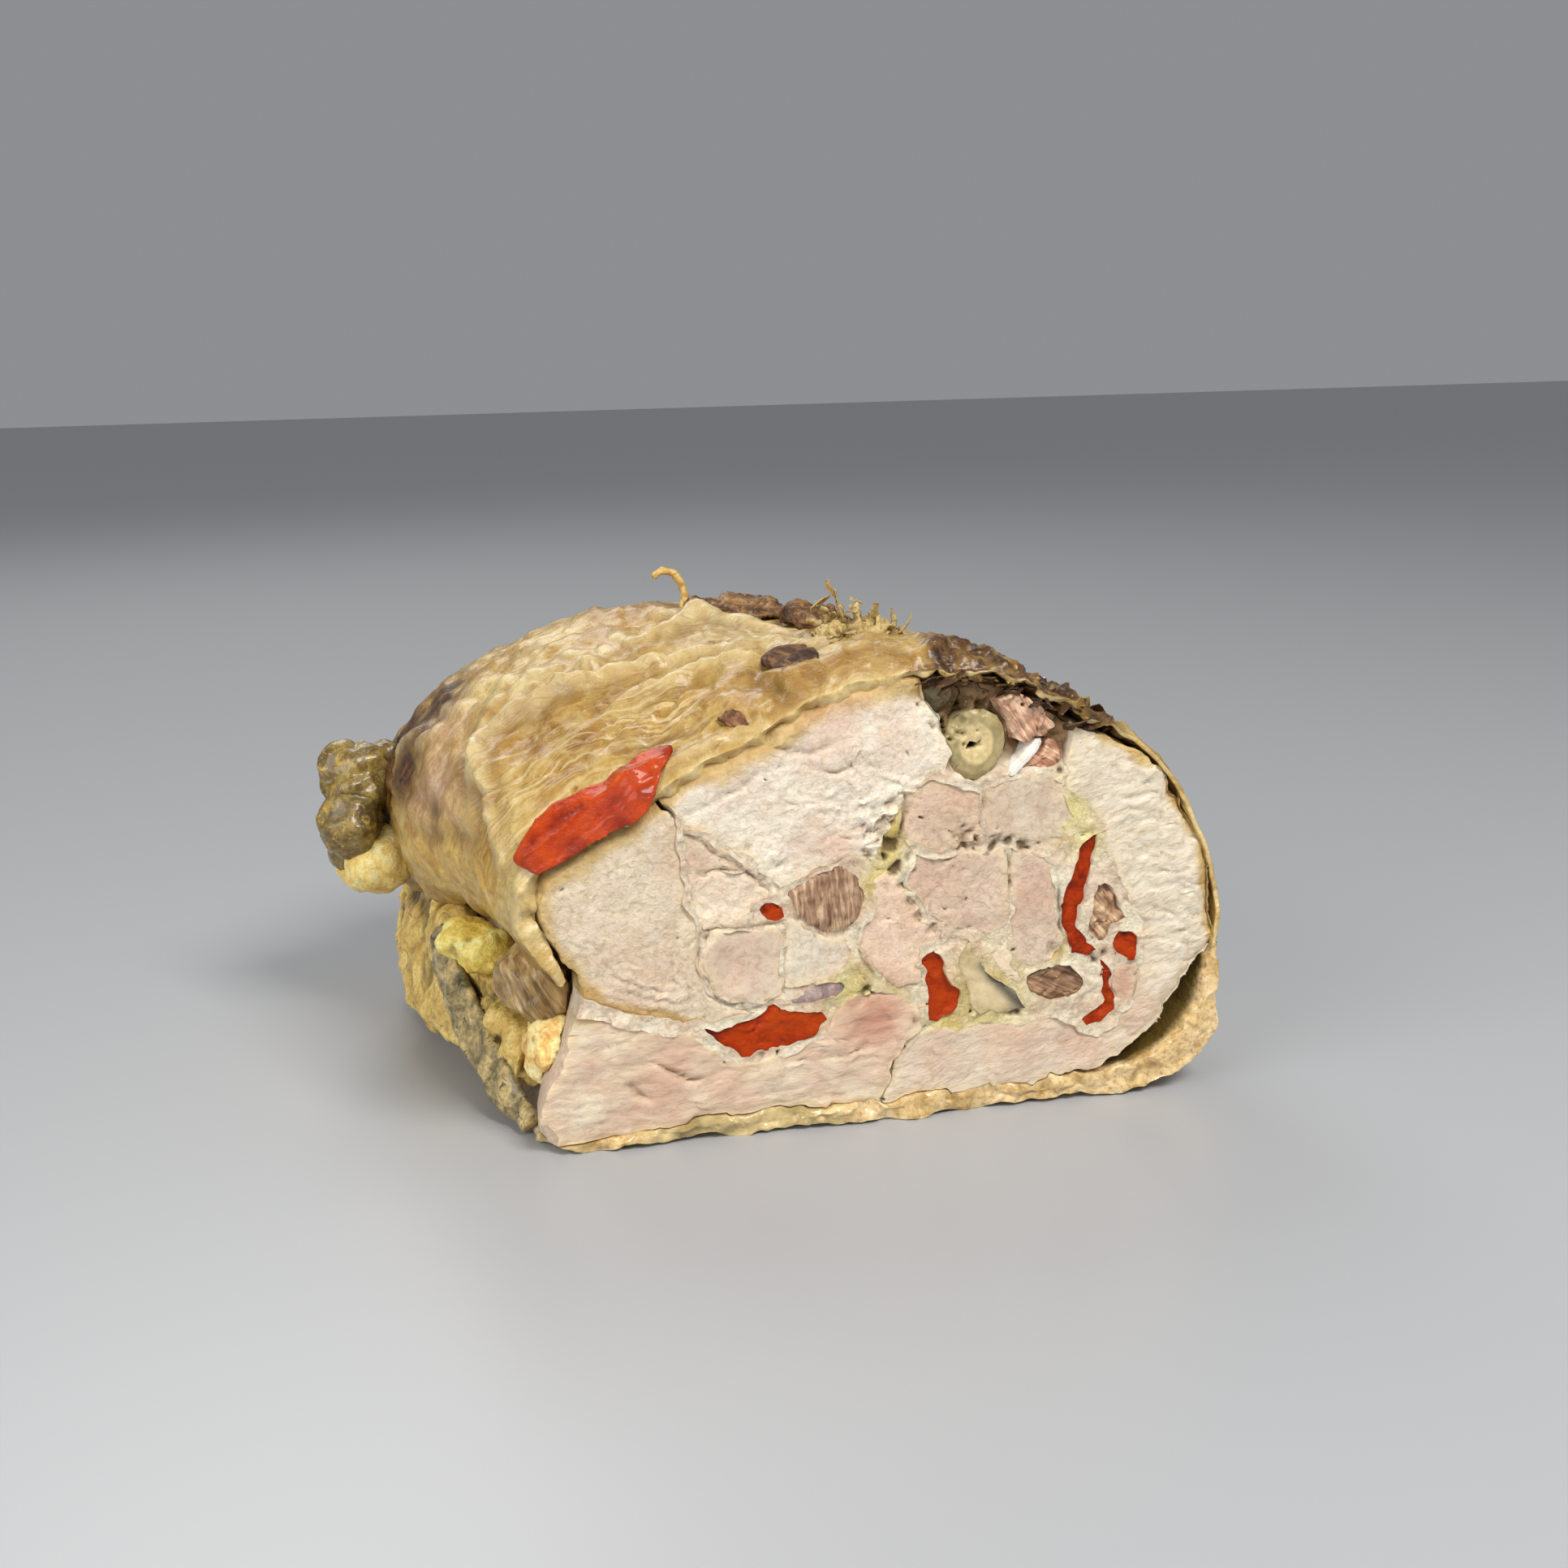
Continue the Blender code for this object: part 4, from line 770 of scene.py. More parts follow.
def blurred(grid, times):
    """A grid smoothed over its neighbours, that many times."""
    for _ in range(times):
        p = np.pad(grid, ((1, 1), (1, 1)) + ((0, 0),) * (grid.ndim - 2), mode="edge")
        grid = (p[1:-1, 1:-1] * 4 + p[:-2, 1:-1] * 2 + p[2:, 1:-1] * 2 + p[1:-1, :-2] * 2
                + p[1:-1, 2:] * 2 + p[:-2, :-2] + p[2:, 2:] + p[:-2, 2:] + p[2:, :-2]) / 16
    return grid


def grid_normals(points):
    """Outward normals of a grid of points, from its differences along both ways."""
    along = np.gradient(points, axis=0)
    across = np.gradient(points, axis=1)
    n = np.cross(across, along)
    n /= np.maximum(np.linalg.norm(n, axis=2, keepdims=True), 1e-9)
    return n


def wrinkle_height(p, onto):
    """Relief of the skin in mm at points p: long folds, blisters, fine wrinkles, and its
    value in the fine creases, for painted shade there; with painted shade beside the folds and
    in the grooves and a painted highlight on their crests and the blisters, for the colour."""
    h = 1.6 * lumps(p, 17, 5) + 0.7 * lumps(p, 6.5, 9, 3)
    behind = fade(p[:, 1], 60, 100)
    h += behind * (1.2 * (ridges(p * [0.5, 1, 1], 9.0, 11, 2) - 0.5))
    shade, crest = np.zeros(len(p)), np.zeros(len(p))
    for line, width, height in FOLDS:
        far, along = near_line(p + 1.2 * np.column_stack([lumps(p, 6, 61 + k) for k in range(3)]),
                               onto(line))
        ends = np.sin(np.pi * (0.06 + 0.88 * along)) ** 0.6
        h += 1.9 * height * np.exp(-(far / width) ** 2) * ends
        # A fold's crest takes a painted highlight and its side painted shade; a groove takes
        # painted shade.
        if height > 0:
            crest = np.maximum(crest, ends * np.exp(-(far / width) ** 2))
            beside = (far - 1.7 * width) / width * 1.4
            shade = np.maximum(shade, 0.7 * ends * np.exp(-beside ** 2))
        else:
            shade = np.maximum(shade, ends * np.exp(-(far / width) ** 2))
    for u, d, z, radius, height in onto(BLISTERS):
        far = np.linalg.norm(p - np.array([u, d, z]), axis=1) / radius
        h += 1.2 * height * np.exp(-far ** 3)
        # A painted highlight on each blister.
        crest = np.maximum(crest, np.exp(-far ** 3))
    # Fine wrinkles run up and back over the shoulder; strong on the left, faint elsewhere.
    way = np.array([0.66, 0.18, 0.73])
    way /= np.linalg.norm(way)
    aside = np.cross(way, [0, 1, 0])
    aside /= np.linalg.norm(aside)
    third = np.cross(way, aside)
    bent = p + 2.0 * np.column_stack([lumps(p, 14, 21 + k) for k in range(3)])
    lines = np.column_stack([bent @ way / 11.0, bent @ aside / 1.7, bent @ third / 1.7])
    fine = ridges(lines, 1.0, 31, 1)
    middle = ridges(np.column_stack([bent @ way / 16.0, bent @ aside / 3.6, bent @ third / 3.6]),
                    1.0, 35, 1)
    shoulder = np.clip(blob(p, [(-6, 14, 68, 26, 1.0), (14, 16, 84, 24, 1.0),
                                (-16, 30, 56, 16, 0.7), (34, 30, 94, 18, 0.4)]), 0.3, 1)
    h += shoulder * (0.8 * fine + 1.3 * middle - 1.0)
    h += 0.2 * lumps(p, 2.4, 51, 3)
    for u, d, z, radius, depth in onto(SKIN_PITS):
        far = np.linalg.norm(p - np.array([u, d, z]), axis=1) / radius
        h -= depth * np.exp(-far ** 2)
    crease = np.minimum(fine + 0.35, 1) * shoulder + (1 - shoulder) * (0.5 + 0.5 * fine)
    return h, crease, shoulder, (shade, crest)


def skin_relief(p, n, h):
    """Raise the skin's grid by its relief, and shape its hem, its cut and its closed end."""
    flat = p.reshape(-1, 3)
    depth = p[:, :, 1]
    from_hem = np.arange(h.shape[1])[None, :] / (h.shape[1] - 1) * 300
    h = h * (1 - 0.55 * np.exp(-depth / 1.6))
    # Where the skin is thin it lies on the meat, so its relief only rises.
    thin = fade(p[:, :, 0] + 0.25 * depth, 58, 64)
    h = h + thin * (np.maximum(h, 0.15 * h - 0.15) + 0.25 - h)
    h = np.maximum(h, -1.6)
    # The left hem hangs loose and scalloped, with a rolled lip.
    wave = lumps(depth.reshape(-1, 1) * [1, 0, 0], 9, 77).reshape(h.shape)
    lip = np.exp(-((from_hem - 5) / 4.0) ** 2) * fade(depth, 1, 8) * (depth < 108)
    h += lip * (1.5 + 0.8 * wave)
    p = p + n * h[:, :, None]
    drop = np.exp(-(from_hem / 5.0) ** 2) * (depth < 106) * fade(-p[:, :, 0], -4, 6)
    p[:, :, 2] -= drop * (1.2 + 2.4 * wave) * fade(depth, 0, 6)
    p[:, :, 1] -= np.exp(-depth / 0.8) * 0.35 * lumps(flat, 3.4, 15).reshape(h.shape)
    p[:, :, 2] = np.maximum(p[:, :, 2], 0.2)
    # The last rows close the end smoothly, in a ring small enough to be a point.
    tip = p[-5].mean(axis=0)
    for k in range(1, 5):
        p[k - 5] = tip + (p[-5] - tip) * (1 - k / 4.04)
    # Behind, where the skin's two edges come close, they meet.
    gap = np.linalg.norm(p[:, 0] - p[:, -1], axis=1)
    for row in np.flatnonzero(gap < 4.0):
        p[row, 0] = p[row, -1] = (p[row, 0] + p[row, -1]) / 2
    return p


def skin_walls(p, depth):
    """The skin's thickness in mm: fat on the left and top, thin over the right side."""
    wall, top, edge = (round(v / MM, 4) for v in (sizes().skin_wall, sizes().skin_top,
                                                  sizes().skin_edge))
    lean_u = p[:, :, 0] + 0.25 * depth
    thick = np.where(p[:, :, 2] > 62, top, wall) * (1 - fade(lean_u, 60, 66))
    thick += edge * fade(lean_u, 60, 66)
    thick = thick * (1 - fade(lean_u, 96, 104)) + 1.0 * fade(lean_u, 96, 104)
    thick = np.where(depth > 112, 2.4, thick)
    from_hem = np.arange(p.shape[1])[None, :] / (p.shape[1] - 1) * 300
    return thick * (0.35 + 0.65 * np.minimum(from_hem / 10, 1))


def paint_skin(obj, p, onto, crest, shade):
    """Mark where the skin is creamy, pink, yellow, golden or browned, and where it takes painted
    highlights and painted shade, for its material.
    """
    for name, values, least, swing, size, seed in (
            ("cream", blob(p, onto(CREAM)), 0.75, 0.5, 5, 81),
            ("crest", crest, 0.8, 0.5, 3, 87),
            ("shade", shade, 0.8, 0.5, 3, 86),
            ("pink", blob(p, onto(PINK)), 0.9, 0.4, 4, 82),
            ("yellow", blob(p, onto(YELLOW)), 0.9, 0.5, 4, 83),
            ("gold", blob(p, onto(GOLD)), 0.9, 0.5, 6, 85)):
        set_value(obj, name, np.clip(values * (least + swing * lumps(p, size, seed)), 0, 1))
    back = 0.55 * fade(p[:, 1], 95, 135) * np.clip(0.5 + lumps(p, 12, 91), 0, 1)
    brown = blob(p, onto(BROWN)) * (0.95 + 0.7 * lumps(p, 3.2, 84))
    band = (1 - fade(p[:, 1] + 3 * lumps(p, 5, 94, 3), 7, 13)) * fade(p[:, 0], 66, 71) * (
        1 - fade(p[:, 0], 106, 112))
    brown = np.maximum(brown, band * (0.9 + 0.5 * lumps(p, 2.4, 95, 3)))
    set_value(obj, "brown", np.clip(np.maximum(brown, back), 0, 1))
    # Painted shade in the skin's pits.
    pits = [(a, b, c, r * 0.9, 1.0) for a, b, c, r, _ in onto(SKIN_PITS)]
    set_value(obj, "dark", np.clip(blob(p, pits), 0, 1) * 0.8)


def thicken_skin(obj, thick):
    """Give the skin its wall, and a torn relief where the knife cut it."""
    group = obj.vertex_groups.new(name="thickness")
    for i, value in enumerate(np.round(thick.ravel() / 5.0, 3)):
        group.add([i], float(value), "REPLACE")
    apply(obj, "SOLIDIFY", thickness=5 * MM, offset=-1.0, vertex_group="thickness",
          use_even_offset=False, use_rim=True)
    mesh = obj.data
    bm = bmesh.new()
    bm.from_mesh(mesh)
    bm.verts.ensure_lookup_table()
    crossing = [e for e in bm.edges
                if abs(e.verts[0].index - e.verts[1].index) == thick.size]
    bmesh.ops.subdivide_edges(bm, edges=crossing, cuts=4, use_grid_fill=True)
    bm.to_mesh(mesh)
    bm.free()
    q = mm_of(mesh)
    added = np.arange(len(q)) >= 2 * thick.size
    q[:, 1] -= np.where((q[:, 1] < 2.5) & added, 0.35 * lumps(q, 2.4, 17, 3) + 0.15, 0)
    put_mm(mesh, q)
    values = np.zeros(len(q), np.float32)
    mesh.attributes["cut"].data.foreach_get("value", values)
    values[added] = 1.0
    mesh.attributes["cut"].data.foreach_set("value", values)
    smooth_shade(obj, 70)


def build_skin():
    """The loose cooked skin: a wrinkled shell over the roll, cut off at the face."""
    middles, ways, reach = skin_rays()
    rows, cols = reach.shape
    p = middles[:, None, :] + ways * blurred(middle_value(reach), 2)[:, :, None]
    n = grid_normals(blurred(p, 2))
    if np.sum(n * ways) < 0:
        n = -n
    flat = p.reshape(-1, 3)
    tree = KDTree(len(flat))
    for i, point in enumerate(flat):
        tree.insert(point, i)
    tree.balance()

    def onto(spots):
        """The same spots moved to the nearest point of the skin."""
        return [(*tree.find(spot[:3])[0], *spot[3:]) for spot in spots]

    h, crease, drawn, (shade, crest) = wrinkle_height(flat, onto)
    ragged = (1 - fade(flat[:, 1], 8, 15)) * fade(flat[:, 0], 64, 70)
    ragged *= 1 - fade(flat[:, 0], 108, 114)
    h += ragged * (1.5 * lumps(flat, 2.6, 96, 3) + 0.8)
    # The skin's own directions in mm: along each hoop of the roll, and back from the cut.
    run = np.cumsum(np.linalg.norm(np.diff(p, axis=1, prepend=p[:, :1]), axis=2), axis=1)
    run -= run[:, cols // 2:cols // 2 + 1]
    cross = (p[:, :, 1] + 0.10 * run).ravel() + 2.2 * lumps(flat, 15, 103)
    run = run.ravel() + 5 * lumps(flat, 20, 101)
    depth = p[:, :, 1]
    p = skin_relief(p, n, h.reshape(rows, cols))
    faces = [(r * cols + c, r * cols + c + 1, (r + 1) * cols + c + 1, (r + 1) * cols + c)
             for r in range(rows - 1) for c in range(cols - 1)]
    faces.append([(rows - 1) * cols + c for c in range(cols)][::-1])
    flat = p.reshape(-1, 3)
    mesh = bpy.data.meshes.new("skin_shell")
    mesh.from_pydata([metres(v) for v in flat], [], faces)
    obj = link("skin_wrinkled", mesh)
    mesh.update()
    test = cols * 20 + 150
    if mesh.polygons[test].normal.dot(Vector(n.reshape(-1, 3)[test])) < 0:
        mesh.flip_normals()
    paint_skin(obj, flat, onto, crest, shade)
    cut = np.exp(-depth / 1.2) * (1 - fade(p[:, :, 0] + 0.25 * depth, 62, 66))
    # The fine creases' value is for the painted shade in them.
    for name, values in (("crease", np.clip(crease, 0, 1)), ("run", run), ("cross", cross),
                         ("drawn", 0.4 + 0.6 * drawn), ("cut", cut.ravel())):
        set_value(obj, name, values)
    thicken_skin(obj, skin_walls(p, depth))
    return obj


# ---------------------------------------------------------------- soft pieces

def organic(node, name, voxel=0.7, smooth=4, waves=(), grow=0.0, floor=False):
    """A CAD lump made organic: remeshed, rounded, then raised by layers of noise.

    waves lists (size, height, seed, kind) in mm, kind being "lumps" or "ridges".
    """
    obj = copy_node(node, name)
    apply(obj, "REMESH", mode="VOXEL", voxel_size=voxel * MM, adaptivity=0)
    if smooth:
        apply(obj, "SMOOTH", factor=0.5, iterations=smooth)
    p = mm_of(obj.data)
    n = normals_of(obj.data)
    h = np.full(len(p), grow)
    for size, height, seed, kind in waves:
        if kind == "ridges":
            h += height * (ridges(p, size, seed, 2) - 0.5)
        else:
            h += height * lumps(p, size, seed, 3)
    p += n * h[:, None]
    if floor:
        p[:, 2] = np.maximum(p[:, 2], 0.15)
    put_mm(obj.data, p)
    # How deep each hollow lies, for the painted shade in it.
    set_value(obj, "crack", np.clip(-h * 0.8 - 0.2, 0, 1))
    smooth_shade(obj, 80)
    return obj


# Cut pieces of meat: node, finish name, its three tones (light, the dark of its painted shade, and
# pink), and how it is carved.
MEATS = {
    "left_breast": (("cooked_breast_left", "e4d7bf", "c2a57c", "dec8b1"),
                    dict(crumb=1.1, bump=0.30, tint=0.45), dict(crumb=0.15, size=1.0, soft=0.4)),
    "top_breast": (("cooked_breast_top", "f0ebd9", "cfb795", "ecdac9"),
                   dict(crumb=1.2, bump=0.32, tint=0.4), dict(crumb=0.15, size=1.0, soft=0.5)),
    "right_breast": (("cooked_breast_right", "e3d8c3", "c6ad85", "e1d3bf"),
                     dict(crumb=1.0, bump=0.26, tint=0.4, turn=(0, 20, 0), stretch=(2.2, 1, 1)),
                     dict(crumb=0.16, size=1.1, soft=0.5)),
    "thigh_layer": (("cooked_thigh_layer", "e1d5bb", "bc9a7a", "d3b7a3"),
                    dict(crumb=1.2, bump=0.2, turn=(0, 4, 0), stretch=(2.6, 1, 1), tint=0.8,
                         wet=0.36), dict(crumb=0.14, size=1.8, soft=0.6)),
    "white_fillet": (("cooked_fillet", "f3e4cd", "d4b494", "ecd7c0"),
                     dict(crumb=1.0, bump=0.3), dict(crumb=0.24, size=1.6)),
    "white_middle": (("cooked_breast_middle", "edd7c0", "c8a484", "e4c5b0"),
                     dict(crumb=1.1, bump=0.24), dict(crumb=0.16)),
    "white_wedge": (("cooked_breast_wedge", "f2e0c6", "cdb08a", "edd7bd"),
                    dict(crumb=1.0, bump=0.24), dict(crumb=0.14)),
    "thigh_round": (("cooked_thigh_round", "dfd7c1", "b99881", "d5c2af"),
                    dict(crumb=1.4, bump=0.16, tint=0.7, wet=0.36), dict(crumb=0.1, soft=0.5)),
    "pale_middle": (("cooked_thigh_middle", "e0d8c5", "bca186", "d7c8b5"),
                    dict(crumb=1.2, bump=0.2), dict(crumb=0.14)),
    "pink_corner": (("cooked_thigh_corner", "dbcfb8", "b48f72", "d1b8a4"),
                    dict(crumb=1.0, bump=0.24), dict(crumb=0.18)),
    "pink_low": (("cooked_thigh_low", "dbc8b0", "b28c71", "d1b29c"),
                 dict(crumb=1.0, bump=0.24), dict(crumb=0.18)),
    "ham_chunk_upper": (("cooked_thigh_chunk_upper", "dfd1b5", "b49275", "d5b9a4"),
                        dict(crumb=1.1, bump=0.24, tint=0.8), dict(crumb=0.16)),
    "ham_chunk_lower": (("cooked_thigh_chunk_lower", "dfd0b9", "b59276", "d5bba7"),
                        dict(crumb=1.1, bump=0.28, tint=0.8), dict(crumb=0.2)),
    "pale_chunk_upper": (("cooked_chunk_pale_upper", "d6c8b2", "b19275", "cebaa4"),
                         dict(crumb=1.2, bump=0.18, tint=0.7, wet=0.36), dict(crumb=0.12)),
    "pale_chunk_lower": (("cooked_chunk_pale_lower", "dbc9b5", "b28f75", "d2b6a3"),
                         dict(crumb=1.1, bump=0.24, tint=0.7), dict(crumb=0.16)),
}


def left_shape(p, q, to_rim):
    """Concentric layers of muscle along the lower left of the lobe."""
    near = np.exp(-((to_rim - 5) / 4.0) ** 2) * fade(46 - q[:, 2], 0, 10)
    return near * 0.32 * np.sin(to_rim * 3.1 + lumps(q, 4, 12)) - 0.4 * np.exp(-to_rim / 1.6)


def top_shape(p, q, to_rim):
    """Flaky crumble across the middle of the upper lobe, smooth above, domed at its top."""
    rough = np.exp(-((q[:, 2] - 66) / 7.5) ** 2) * np.exp(-((q[:, 0] - 56) / 15) ** 2)
    line = np.column_stack([q[:, 0] / 4.2 + q[:, 2] * 0.06, q[:, 1], q[:, 2] / 1.35])
    return rough * 0.9 * (ridges(line, 1.0, 33, 2) - 0.5) - 1.3 * np.exp(-to_rim / 2.4) * fade(
        q[:, 2], 74, 84) * fade(q[:, 0], 36, 46)


def right_shape(p, q, to_rim):
    """Fine wavy splits across the right lobe, which rolls off toward its outer edge."""
    line = np.column_stack([q[:, 0] / 5.0, q[:, 1], q[:, 2] / 1.9 + q[:, 0] * 0.12])
    inside = fade(q[:, 0], 102, 112) * fade(q[:, 2], 22, 34)
    outer = fade(q[:, 0], 112, 124)
    return inside * 0.5 * (ridges(line, 1.0, 63, 2) - 0.6) - 1.6 * np.exp(-to_rim / 2.2) * outer


def thigh_shape(p, q, to_rim):
    """Long soft strands along the lower layer."""
    line = np.column_stack([q[:, 0] / 14.0, q[:, 1], q[:, 2] / 1.8])
    return 0.3 * (ridges(line, 1.0, 93, 2) - 0.5)


# Fat at the rim of the lobes: a line in (u, z), and its width in mm at each end.
FATS = [([(-1.5, 31), (-6.5, 36), (-10, 40), (-13.6, 45.5), (-14.5, 52)], 5.5, 9.5),
        ([(-14.5, 52), (-11, 57), (-3, 61.5), (6, 66), (13, 70)], 9.5, 4.2),
        ([(13, 70), (20, 75), (30, 79), (38, 83.6), (45, 88.2), (53, 91), (66, 92)], 5.0, 7.5),
        ([(105, 78), (117.5, 70), (127, 54), (130, 36), (131, 24)], 2.6, 2.8),
        ([(-8, 31), (0, 30.5), (10, 27.6), (20, 25)], 3.2, 0.8)]
# Pinkish stains in the white meat: u, z, radius and strength.
STAINS = [(46, 78, 6, 0.35), (54, 77, 5, 0.3), (50, 82, 8, 0.5), (61, 80, 6, 0.4),
          (49, 59, 5, 0.5), (42, 60.5, 4, 0.35), (30, 72, 6, 0.2), (12, 15, 9, 0.5),
          (24, 13.6, 8, 0.35), (56, 23, 9, 0.9), (62, 24, 4, 0.4), (29, 35, 8, 0.3),
          (10, 34, 9, 0.25), (20, 57, 5, 0.3), (76, 64, 7, 0.3), (70, 48, 8, 0.3),
          (90, 44, 6, 0.3), (60, 16, 5, 0.4), (110, 25, 4, 0.6), (86, 15, 9, 0.5),
          (70, 13, 8, 0.4), (101, 13, 8, 0.5), (112, 17, 6, 0.4)]


def stained(obj):
    """Mark a cut piece with the fat at the roll's rim and the pink stains, for its material."""
    p = mm_of(obj.data)
    flat = p * [1, 0, 1]
    wander = 1.6 * lumps(flat, 4.5, 66, 3)
    fat = np.zeros(len(p))
    for line, first, last in FATS:
        far, along = near_line(flat, [(u, 0, z) for u, z in line])
        width = np.maximum(first + (last - first) * along + wander, 0.5)
        fat = np.maximum(fat, 1 - fade(far, width * 0.45, width))
    pink = np.zeros(len(p))
    for u, z, radius, strength in STAINS:
        far = np.hypot(flat[:, 0] - u, flat[:, 2] - z) + wander
        pink = np.maximum(pink, strength * np.exp(-(far / radius) ** 2))
    set_value(obj, "fat", np.clip(fat, 0, 1) * 0.9)
    set_value(obj, "pink", pink)


SHAPES = {"left_breast": left_shape, "top_breast": top_shape, "right_breast": right_shape,
          "thigh_layer": thigh_shape}


def build_meats(names):
    """The layers and chunks of chicken, carved at the cut and marked with fat and stains."""
    for name in names:
        (label, light, dark, pink), finish, carving = MEATS[name]
        obj = copy_node(name, name + "_cut")
        grow = 0.2 if name in SHAPES else 0.6
        carve_face(obj, shape=SHAPES.get(name), seed=len(name) * 7 % 31, grow=grow, **carving)
        stained(obj)
        hand_over(obj, meat(label, light, dark, pink, **finish), [name])


# Where yellow fat gathers in the binding: u, z and radius in mm.
YELLOW_FAT = [(52, 29, 6), (60, 25, 4), (80, 24, 9), (72, 19, 5), (98, 62, 6), (95, 33, 3),
              (101, 56, 4), (70, 84, 3)]


def recess(p, q, to_rim):
    """The hollow over the chunks, where the olives and the tongue stand free."""
    hollow = fade(q[:, 2], 70.5, 75) * fade(q[:, 0], 64.5, 69)
    return -hollow * (2.6 + 1.2 * lumps(q, 3.5, 37)) - 0.12


def build_binding():
    """The crumbly set jelly between the chunks, with its vein of clear jelly and a tendon."""
    obj = copy_node("binding", "binding_crumbly")
    carve_face(obj, crumb=0.34, size=1.9, soft=0.5, rim=-0.2, seed=19, grow=0.3,
               shape=recess, grain=0.55)
    p = mm_of(obj.data)
    flat = p * [1, 0, 1]
    far, _ = near_line(flat, [(57, 0, 50), (60, 0, 56), (60.5, 0, 66)])
    yellow = np.exp(-(far / 3.2) ** 2)
    for u, z, radius in YELLOW_FAT:
        yellow = np.maximum(yellow, np.exp(-((flat[:, 0] - u) ** 2 + (flat[:, 2] - z) ** 2)
                                           / radius ** 2))
    set_value(obj, "yellow", yellow)
    # Painted shade in the hollow under the fringe, for the material.
    set_value(obj, "dark", fade(flat[:, 2], 70.5, 76) * fade(flat[:, 0], 62, 66))
    hand_over(obj, binding_finish(), ["binding"])
    vein = copy_node("grey_vein", "grey_vein_cut")
    carve_face(vein, crumb=0.08, soft=0.3, rim=0.2)
    hand_over(vein, plain_food("grey_jelly", "c9b2a8", "a58d88", "7f6d6e", 3.0, 0.22, 0.2, 0.35),
              ["grey_vein"])
    tendon = copy_node("tendon", "tendon_cut")
    carve_face(tendon, crumb=0.05, soft=0.15, rim=0.25, warp=0.3)
    hand_over(tendon, plain_food("tendon_gristle", "f8f5ee", "eee8dc", "d5cabb", 2.4, 0.16, 0.15,
                                 0.4, coat=0.5), ["tendon"])


# Tongue in the cut: node, tones (base, light, dark), fibre direction, carving.
TONGUES = {
    "tongue_chunk": ("ab8a6e", "dbbe99", "74503c", (0, 4, 0),
                     dict(crumb=0.16, size=1.0, warp=0.4), 0.75),
    "tongue_low": ("977457", "c8a37d", "5d402d", (0, 65, 0), dict(crumb=0.4, size=1.6), 0.9),
    "tongue_right": ("be9874", "e6cea7", "724d32", (0, 40, 0), dict(crumb=0.6, size=1.8), 0.8),
    "tongue_shred": ("d1a88b", "f1d6b7", "94654b", (0, 35, 0), dict(crumb=0.6, size=1.5), 0.7),
    "tongue_strip": ("c89678", "f0c9a5", "92614b", (0, 60, 0), dict(crumb=0.2, size=1.5), 0.8),
}


def fibre_relief(turn):
    """Ridges along a fibre direction on the cut face."""
    a = math.radians(turn)
    def relief(p, q, to_rim):
        across = q[:, 0] * math.cos(a) - q[:, 2] * math.sin(a)
        along = q[:, 0] * math.sin(a) + q[:, 2] * math.cos(a)
        line = np.column_stack([across / 1.3, q[:, 1], along / 7.0])
        return 0.55 * (ridges(line, 1.0, 17, 2) - 0.5)
    return relief


def build_tongue():
    """The pieces of tongue in the cut, ridged along their fibres."""
    for name, (base, light, dark, turn, carving, size) in TONGUES.items():
        obj = copy_node(name, name + "_cut")
        carve_face(obj, shape=fibre_relief(turn[1]), grain=0.45, rim=0.35, **carving)
        hand_over(obj, tongue_finish("boiled_" + name, base, light, dark, turn, size),
                  [name])


PEPPERS = ("pepper_small", "pepper_low", "pepper_middle", "pepper_long", "pepper_hook",
           "pepper_dot")


def build_peppers():
    """The pieces of red pepper in the cut."""
    c = colours()
    finish = pepper_finish("cooked_red_pepper_cut", hexed(c.pepper), "b04006", "661002", 0.2)
    for name in PEPPERS:
        obj = copy_node(name, name + "_cut")
        carve_face(obj, crumb=0.35, size=1.7, soft=0.45, rim=-0.1, grain=0.5,
                   seed=len(name), warp=0.8)
        hand_over(obj, finish, [name])


def olive_radius(q):
    """How far out a point lies on the olive ring: 0 at its middle, 1 at its rim."""
    return np.hypot((q[:, 0] - 77.9) / 5.9, (q[:, 2] - 77.1) / 7.0)


